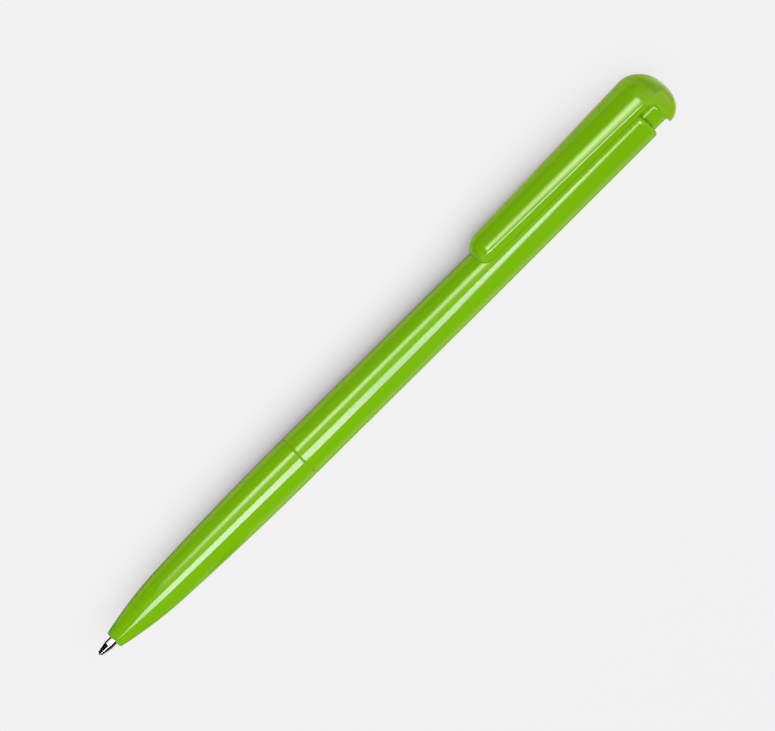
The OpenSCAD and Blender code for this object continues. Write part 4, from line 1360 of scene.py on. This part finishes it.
# Lights on the floor: place, target and size. Strip lights on the pen: span along it. Cards that the
# metal point mirrors: angle over the pen, angle covered and span; place and size of the one on the floor
FLOOR_LIGHTS = {"overhead": ((0.0, 0.52, 1.2), (0.0, 0.52, 0.0), (4.0, 2.25)),
                "front": ((0.0, -0.92, 1.2), (0.0, 0.0, 0.0), (3.0, 0.6))}
PEN_LIGHTS = {"key": (-0.135, 0.315), "side": (-0.135, 0.315), "fill": (-0.145, 0.085),
              "back": (-0.2, 0.3)}
POINT_CARDS = {"point_low_card": (11, 48, (-0.05, 0.2)), "point_high_card": (90, 78, (-0.05, 0.4))}
POINT_FLOOR_PLACE = (68.0 * MM, AXIS_Y - 13.0 * MM, 2 * FLOOR_LIFT)
POINT_FLOOR_SIZE = (5.0 * MM, 13.0 * MM)


def fade_in(value, start, width):
    """Rises smoothly from 0 at the start to 1 a width later."""
    return ease((value - start) / width)


def fade_out(value, end, width):
    """Falls smoothly from 1 a width before the end to 0 at the end."""
    return ease((end - value) / width)


def glow_levels(x, rise, stage):
    """How bright the light tent is at a place along the pen and an angle over it, from the clip's side
    over the top to the other side: a sharp key strip that narrows towards both ends, a soft fill strip,
    a faint glow between them, a pale card behind, a warm glow past the cap and a plain one ahead of the
    point."""
    degrees = np.degrees(rise)
    cap_end = fade_in(x, *CAP_SIDE)
    low = np.interp(x, KEY_LOW_X, KEY_LOW)
    high = np.interp(x, KEY_HIGH_X, KEY_HIGH)
    soft = np.interp(x, KEY_HIGH_SOFT_X, KEY_HIGH_SOFT)
    key = ease((degrees - low) / KEY_LOW_SOFT + 0.5) * ease((high - degrees) / soft + 0.5)
    key = key * fade_out(x, *KEY_AHEAD) * np.interp(x, KEY_LEVEL_X, KEY_LEVEL)
    warmth = np.clip((KEY_WARM_SIDE[0] - x) / KEY_WARM_SIDE[1], 0, 1)
    key_tint = mix(KEY_WHITE, KEY_WARM, warmth[..., None])
    off_fill = (degrees - math.degrees(stage.fill_rise)) / np.interp(x, FILL_WIDE_X, FILL_WIDE)
    fill = np.exp(-0.5 * off_fill ** 2) * cap_end * fade_out(x, *FILL_AHEAD)
    fill = fill * np.interp(x, FILL_LEVEL_X, FILL_LEVEL)
    between = fade_in(degrees, *BETWEEN_LOW) * fade_out(degrees, *BETWEEN_HIGH)
    between = between * cap_end * fade_out(x, *BETWEEN_AHEAD)
    behind = cap_end * mix(1.0, BACK_DIM, fade_in(x, *BACK_DIM_FROM))
    behind = behind * (1 - fade_in(x, *BACK_GAP_FROM) * fade_out(x, *BACK_GAP_TO))
    layers = ((stage.key_glow * key, key_tint),
              (stage.fill_glow * fill, WARM),
              (stage.between_glow * between, LEAF),
              (stage.back_glow * behind * fade_in(degrees, *BACK_LOW), 1.0),
              (behind * fade_in(degrees, *PALE_LOW), CREAM),
              (fade_out(x, *PAST_SIDE), PAST_CAP),
              (fade_out(x, *FAR_SIDE), FAR_END),
              (AHEAD_GLOW * fade_in(x, *AHEAD_FROM), 1.0))
    return sum((level + 0 * degrees)[..., None] * tint for level, tint in layers)


def floor_glow(x, y):
    """How bright the floor shows in reflections: pale close to the pen, behind it and past the cap, and
    dark farther out on the clip's side and round the point. Right at the barrel's foot it is painted
    darker as shade."""
    out = AXIS_Y - y
    reach = np.interp(x, FLAG_X, FLAG_REACH)
    # Painted shade: the floor in reflections is darker close to the barrel's foot
    front = ease((reach - out) / FLAG_SOFT + 0.5) * mix(FOOT_PAINTED_SHADE, 1.0, fade_in(out, *FOOT_SHADE_FROM))
    beside = np.where((out > 0)[..., None], front[..., None] * FLOOR_FRONT, FLOOR_BACK)
    from_cap = np.hypot(x - CAP_FOOT_X, out)
    end = END_BEHIND
    for tint, level in ((END_UNDER, fade_in(out, *UNDER_FROM)),
                        (END_BESIDE, fade_in(out, *BESIDE_FROM)),
                        (END_FAR, fade_in(from_cap, *END_FAR_FROM))):
        end = mix(end, tint, level[..., None])
    glow = mix(beside, end, fade_out(x, *END_SIDE)[..., None])
    return glow * fade_out(x, *POINT_SIDE)[..., None]


def stage_sheet(name, points, material):
    """A sheet of the stage from a grid of points in the frame."""
    mesh = bpy.data.meshes.new(name)
    mesh.from_pydata(points.reshape(-1, 3).tolist(), [], cells(*points.shape[:2]).tolist())
    mesh.materials.append(material)
    piece = add_object(name, mesh)
    return piece


def glowing_material(name):
    """A surface that glows as its own attribute says."""
    material = bpy.data.materials.new(name)
    material.use_nodes = True
    material.cycles.emission_sampling = "NONE"
    tree = material.node_tree
    tree.nodes.remove(tree.nodes["Principled BSDF"])
    level = add(tree, "ShaderNodeAttribute", {"attribute_name": GLOW})
    shader = add(tree, "ShaderNodeEmission", links={"Color": level.outputs["Color"]})
    tree.links.new(shader.outputs["Emission"], tree.nodes["Material Output"].inputs["Surface"])
    return material


def glowing_sheet(name, points, glow):
    """A card that glows at each of its points as given, and only shows in reflections."""
    card = stage_sheet(name, points, glowing_material(name))
    level = card.data.attributes.new(GLOW, "FLOAT_COLOR", "POINT")
    solid = np.ones((*points.shape[:2], 4), np.float32)
    solid[..., :3] = glow
    level.data.foreach_set("color", solid.ravel())
    for ray in ("camera", "diffuse", "shadow", "transmission", "volume_scatter"):
        setattr(card, f"visible_{ray}", False)


def grid_lines(stretches):
    """Rising places of grid lines, from stretches of start, end and count."""
    return np.unique(np.concatenate([np.linspace(*stretch) for stretch in stretches]))


def light_tent(stage):
    """A half tube about the pen, and a card on the floor below it."""
    x, rise = np.meshgrid(grid_lines(TENT_X), grid_lines(TENT_RISE), indexing="ij")
    points = np.stack([x, AXIS_Y - CARD_R * np.cos(rise), AXIS_Z + CARD_R * np.sin(rise)], axis=-1)
    glowing_sheet("light_tent", points, glow_levels(x, rise, stage))
    x, y = np.meshgrid(grid_lines(FLOOR_X), grid_lines(FLOOR_Y) + AXIS_Y, indexing="ij")
    glowing_sheet("floor_card", np.stack([x, y, 0 * x + FLOOR_LIFT], axis=-1), floor_glow(x, y))


def area_light(name, place, target, size, radiance, mirrored_in=False):
    """A broad soft light, which stays out of reflections unless it is to be mirrored."""
    light = bpy.data.lights.new(name, "AREA")
    light.shape = "RECTANGLE"
    light.size, light.size_y = size
    light.energy = radiance * math.pi * light.size * light.size_y
    light.cycles.use_multiple_importance_sampling = mirrored_in
    lamp = add_object(name, light)
    facing = (Vector(target) - Vector(place)).to_track_quat("-Z", "Y")
    lamp.matrix_world = Matrix.Translation(place) @ facing.to_matrix().to_4x4()
    lamp.visible_glossy = mirrored_in
    return lamp


def strip_light(name, rise, spread, span, radiance, mirrored_in=False):
    """An area light that stands at an angle over the pen and covers an angle and a span along it."""
    middle = (span[0] + span[1]) / 2
    target = Vector((middle, AXIS_Y, AXIS_Z))
    place = target + CARD_R * Vector((0.0, -math.cos(rise), math.sin(rise)))
    size = (span[1] - span[0], 2 * CARD_R * math.tan(spread / 2))
    return area_light(name, place, target, size, radiance, mirrored_in)


def choose_lit(lamps, pieces, state):
    """Has lamps light only these pieces, or all but these."""
    for lamp in lamps:
        lit = bpy.data.collections.new(lamp.name + "_lit")
        for piece in pieces:
            lit.objects.link(piece)
        for entry in lit.collection_objects:
            entry.light_linking.link_state = state
        lamp.light_linking.receiver_collection = lit


def seen_rays(tree):
    """1 where it is seen, straight on, mirrored or through glass, and 0 where it lights other things."""
    path = add(tree, "ShaderNodeLightPath").outputs
    mirrored_too = add_math(tree, "MAXIMUM", path["Is Camera Ray"], path["Is Glossy Ray"])
    return add_math(tree, "MAXIMUM", mirrored_too, path["Is Transmission Ray"])


def floor_material(stage):
    """Matt pale paper. Where it is seen, a share of its paleness is its own, so that the shadow stays
    light and fades towards the ends of the pen."""
    material, tree, shader, place = blank_material("pale_floor")
    add_relief(tree, shader, add_noise(tree, place, scale=900.0, detail=2.0), strength=0.02,
               distance=0.02 * MM)
    axes = add(tree, "ShaderNodeSeparateXYZ", links={0: place})
    along = add_range(tree, axes.outputs["X"], given=(-SHADOW_HALF * MM, SHADOW_HALF * MM))
    ramp = add(tree, "ShaderNodeValToRGB", links={"Fac": along})
    stops = ramp.color_ramp.elements
    while len(stops) < len(SHADOW):
        stops.new(0.5)
    for stop, x, shadow in zip(stops, SHADOW_X, SHADOW):
        own = 1 - (1 - stage.shadow_lift) * shadow
        stop.position = (x + SHADOW_HALF) / (2 * SHADOW_HALF)
        stop.color = (own, own, own, 1)
    lift = add_math(tree, "MULTIPLY", ramp.outputs["Color"], seen_rays(tree))
    add_colour(tree, shader, lift, stage.floor, (0, 0, 0))
    tree.links.new(lift, shader.inputs["Emission Strength"])
    set_values(shader, {"Emission Color": (*stage.floor, 1), "Roughness": 1.0,
                        "Specular IOR Level": 0.0})
    return material


def pale_world(base):
    """What lies behind the floor: as pale as the floor where it is seen, and unlit otherwise."""
    world = bpy.data.worlds.new("pale_surround")
    world.use_nodes = True
    tree = world.node_tree
    background = tree.nodes["Background"]
    background.inputs["Color"].default_value = (*base, 1)
    tree.links.new(seen_rays(tree), background.inputs["Strength"])
    bpy.context.scene.world = world


def aim_camera(stage):
    """A long lens that looks at the pen from above its clip, with the pen slanting in the picture."""
    rise = stage.view_rise - pen_roll()
    to_camera = Vector((0.0, -math.cos(rise), math.sin(rise)))
    to_cap = Vector((-1.0, 0.0, 0.0))
    to_clip = Vector((0.0, -math.sin(rise), -math.cos(rise)))
    cosine, sine = math.cos(stage.image_turn), math.sin(stage.image_turn)
    right = cosine * to_cap - sine * to_clip
    up = sine * to_cap + cosine * to_clip
    aim = Vector((stage.aim_along, AXIS_Y, AXIS_Z)) + stage.aim_across * to_clip
    data = bpy.data.cameras.new("camera")
    data.sensor_width = 36.0
    data.lens = data.sensor_width * stage.distance / stage.field
    data.clip_start, data.clip_end = 0.01, 50.0
    camera = add_object("camera", data)
    turn_matrix = Matrix((right, up, to_camera)).transposed().to_4x4()
    camera.matrix_world = Matrix.Translation(aim + stage.distance * to_camera) @ turn_matrix
    bpy.context.scene.camera = camera


class PEN_OT_stage(bpy.types.Operator):
    """Sets the floor, the lights, the light tent and the camera"""
    bl_idname = "pen.stage"
    bl_label = "Stage"

    def execute(self, context):
        stage = context.scene.pen_stage
        context.scene.view_settings.view_transform = "Standard"
        x, y = np.meshgrid((-FLOOR_HALF, FLOOR_HALF), (-FLOOR_HALF, FLOOR_HALF), indexing="ij")
        floor = stage_sheet("floor", np.stack([x, y, 0 * x], axis=-1), floor_material(stage))
        light_tent(stage)
        on_floor = [area_light(f"{name}_light", *where, getattr(stage, name))
                    for name, where in FLOOR_LIGHTS.items()]
        on_pen = [strip_light(f"{name}_light", getattr(stage, f"{name}_rise"),
                              getattr(stage, f"{name}_spread"), span, getattr(stage, name))
                  for name, span in PEN_LIGHTS.items()]
        on_point = [strip_light(name, math.radians(rise), math.radians(spread), span, stage.point_glow,
                                mirrored_in=True)
                    for name, (rise, spread, span) in POINT_CARDS.items()]
        beside = Vector(POINT_FLOOR_PLACE)
        on_point.append(area_light("point_floor_card", beside, beside + Vector((0, 0, 1)),
                                   POINT_FLOOR_SIZE, stage.point_glow, mirrored_in=True))
        point = [bpy.data.objects["refill_point"], bpy.data.objects["rolling_ball"]]
        choose_lit(on_floor, [floor], "INCLUDE")
        choose_lit(on_pen, [floor], "EXCLUDE")
        choose_lit(on_point, point, "INCLUDE")
        pale_world(stage.floor)
        aim_camera(stage)
        return {"FINISHED"}


OPERATORS = (PEN_OT_lower_barrel, PEN_OT_upper_barrel, PEN_OT_push_cap, PEN_OT_click_cam, PEN_OT_refill,
             PEN_OT_point, PEN_OT_spring, PEN_OT_stage)
GROUPS = {"pen_barrel": BarrelSizes, "pen_cam": CamSizes, "pen_cap": CapSizes, "pen_refill": RefillSizes,
          "pen_finishes": Finishes, "pen_stage": StageSettings}


class PEN_PT_build(bpy.types.Panel):
    """Lists the pen's pieces and its stage"""
    bl_idname = "PEN_PT_build"
    bl_label = "Push ballpoint pen"
    bl_space_type = "VIEW_3D"
    bl_region_type = "UI"
    bl_category = "Pen"

    def draw(self, context):
        for operator in OPERATORS:
            self.layout.operator(operator.bl_idname)


def register():
    for cls in (*GROUPS.values(), *OPERATORS, PEN_PT_build):
        bpy.utils.register_class(cls)
    for name, group in GROUPS.items():
        setattr(bpy.types.Scene, name, PointerProperty(type=group))


def unregister():
    for name in GROUPS:
        delattr(bpy.types.Scene, name)
    for cls in (PEN_PT_build, *reversed(OPERATORS), *reversed(GROUPS.values())):
        bpy.utils.unregister_class(cls)


def main():
    """Builds the pen and its stage."""
    register()
    bpy.ops.pen.lower_barrel()
    bpy.ops.pen.upper_barrel()
    bpy.ops.pen.push_cap()
    bpy.ops.pen.click_cam()
    bpy.ops.pen.refill()
    bpy.ops.pen.point()
    bpy.ops.pen.spring()
    bpy.ops.pen.stage()


if __name__ == "__main__":
    main()
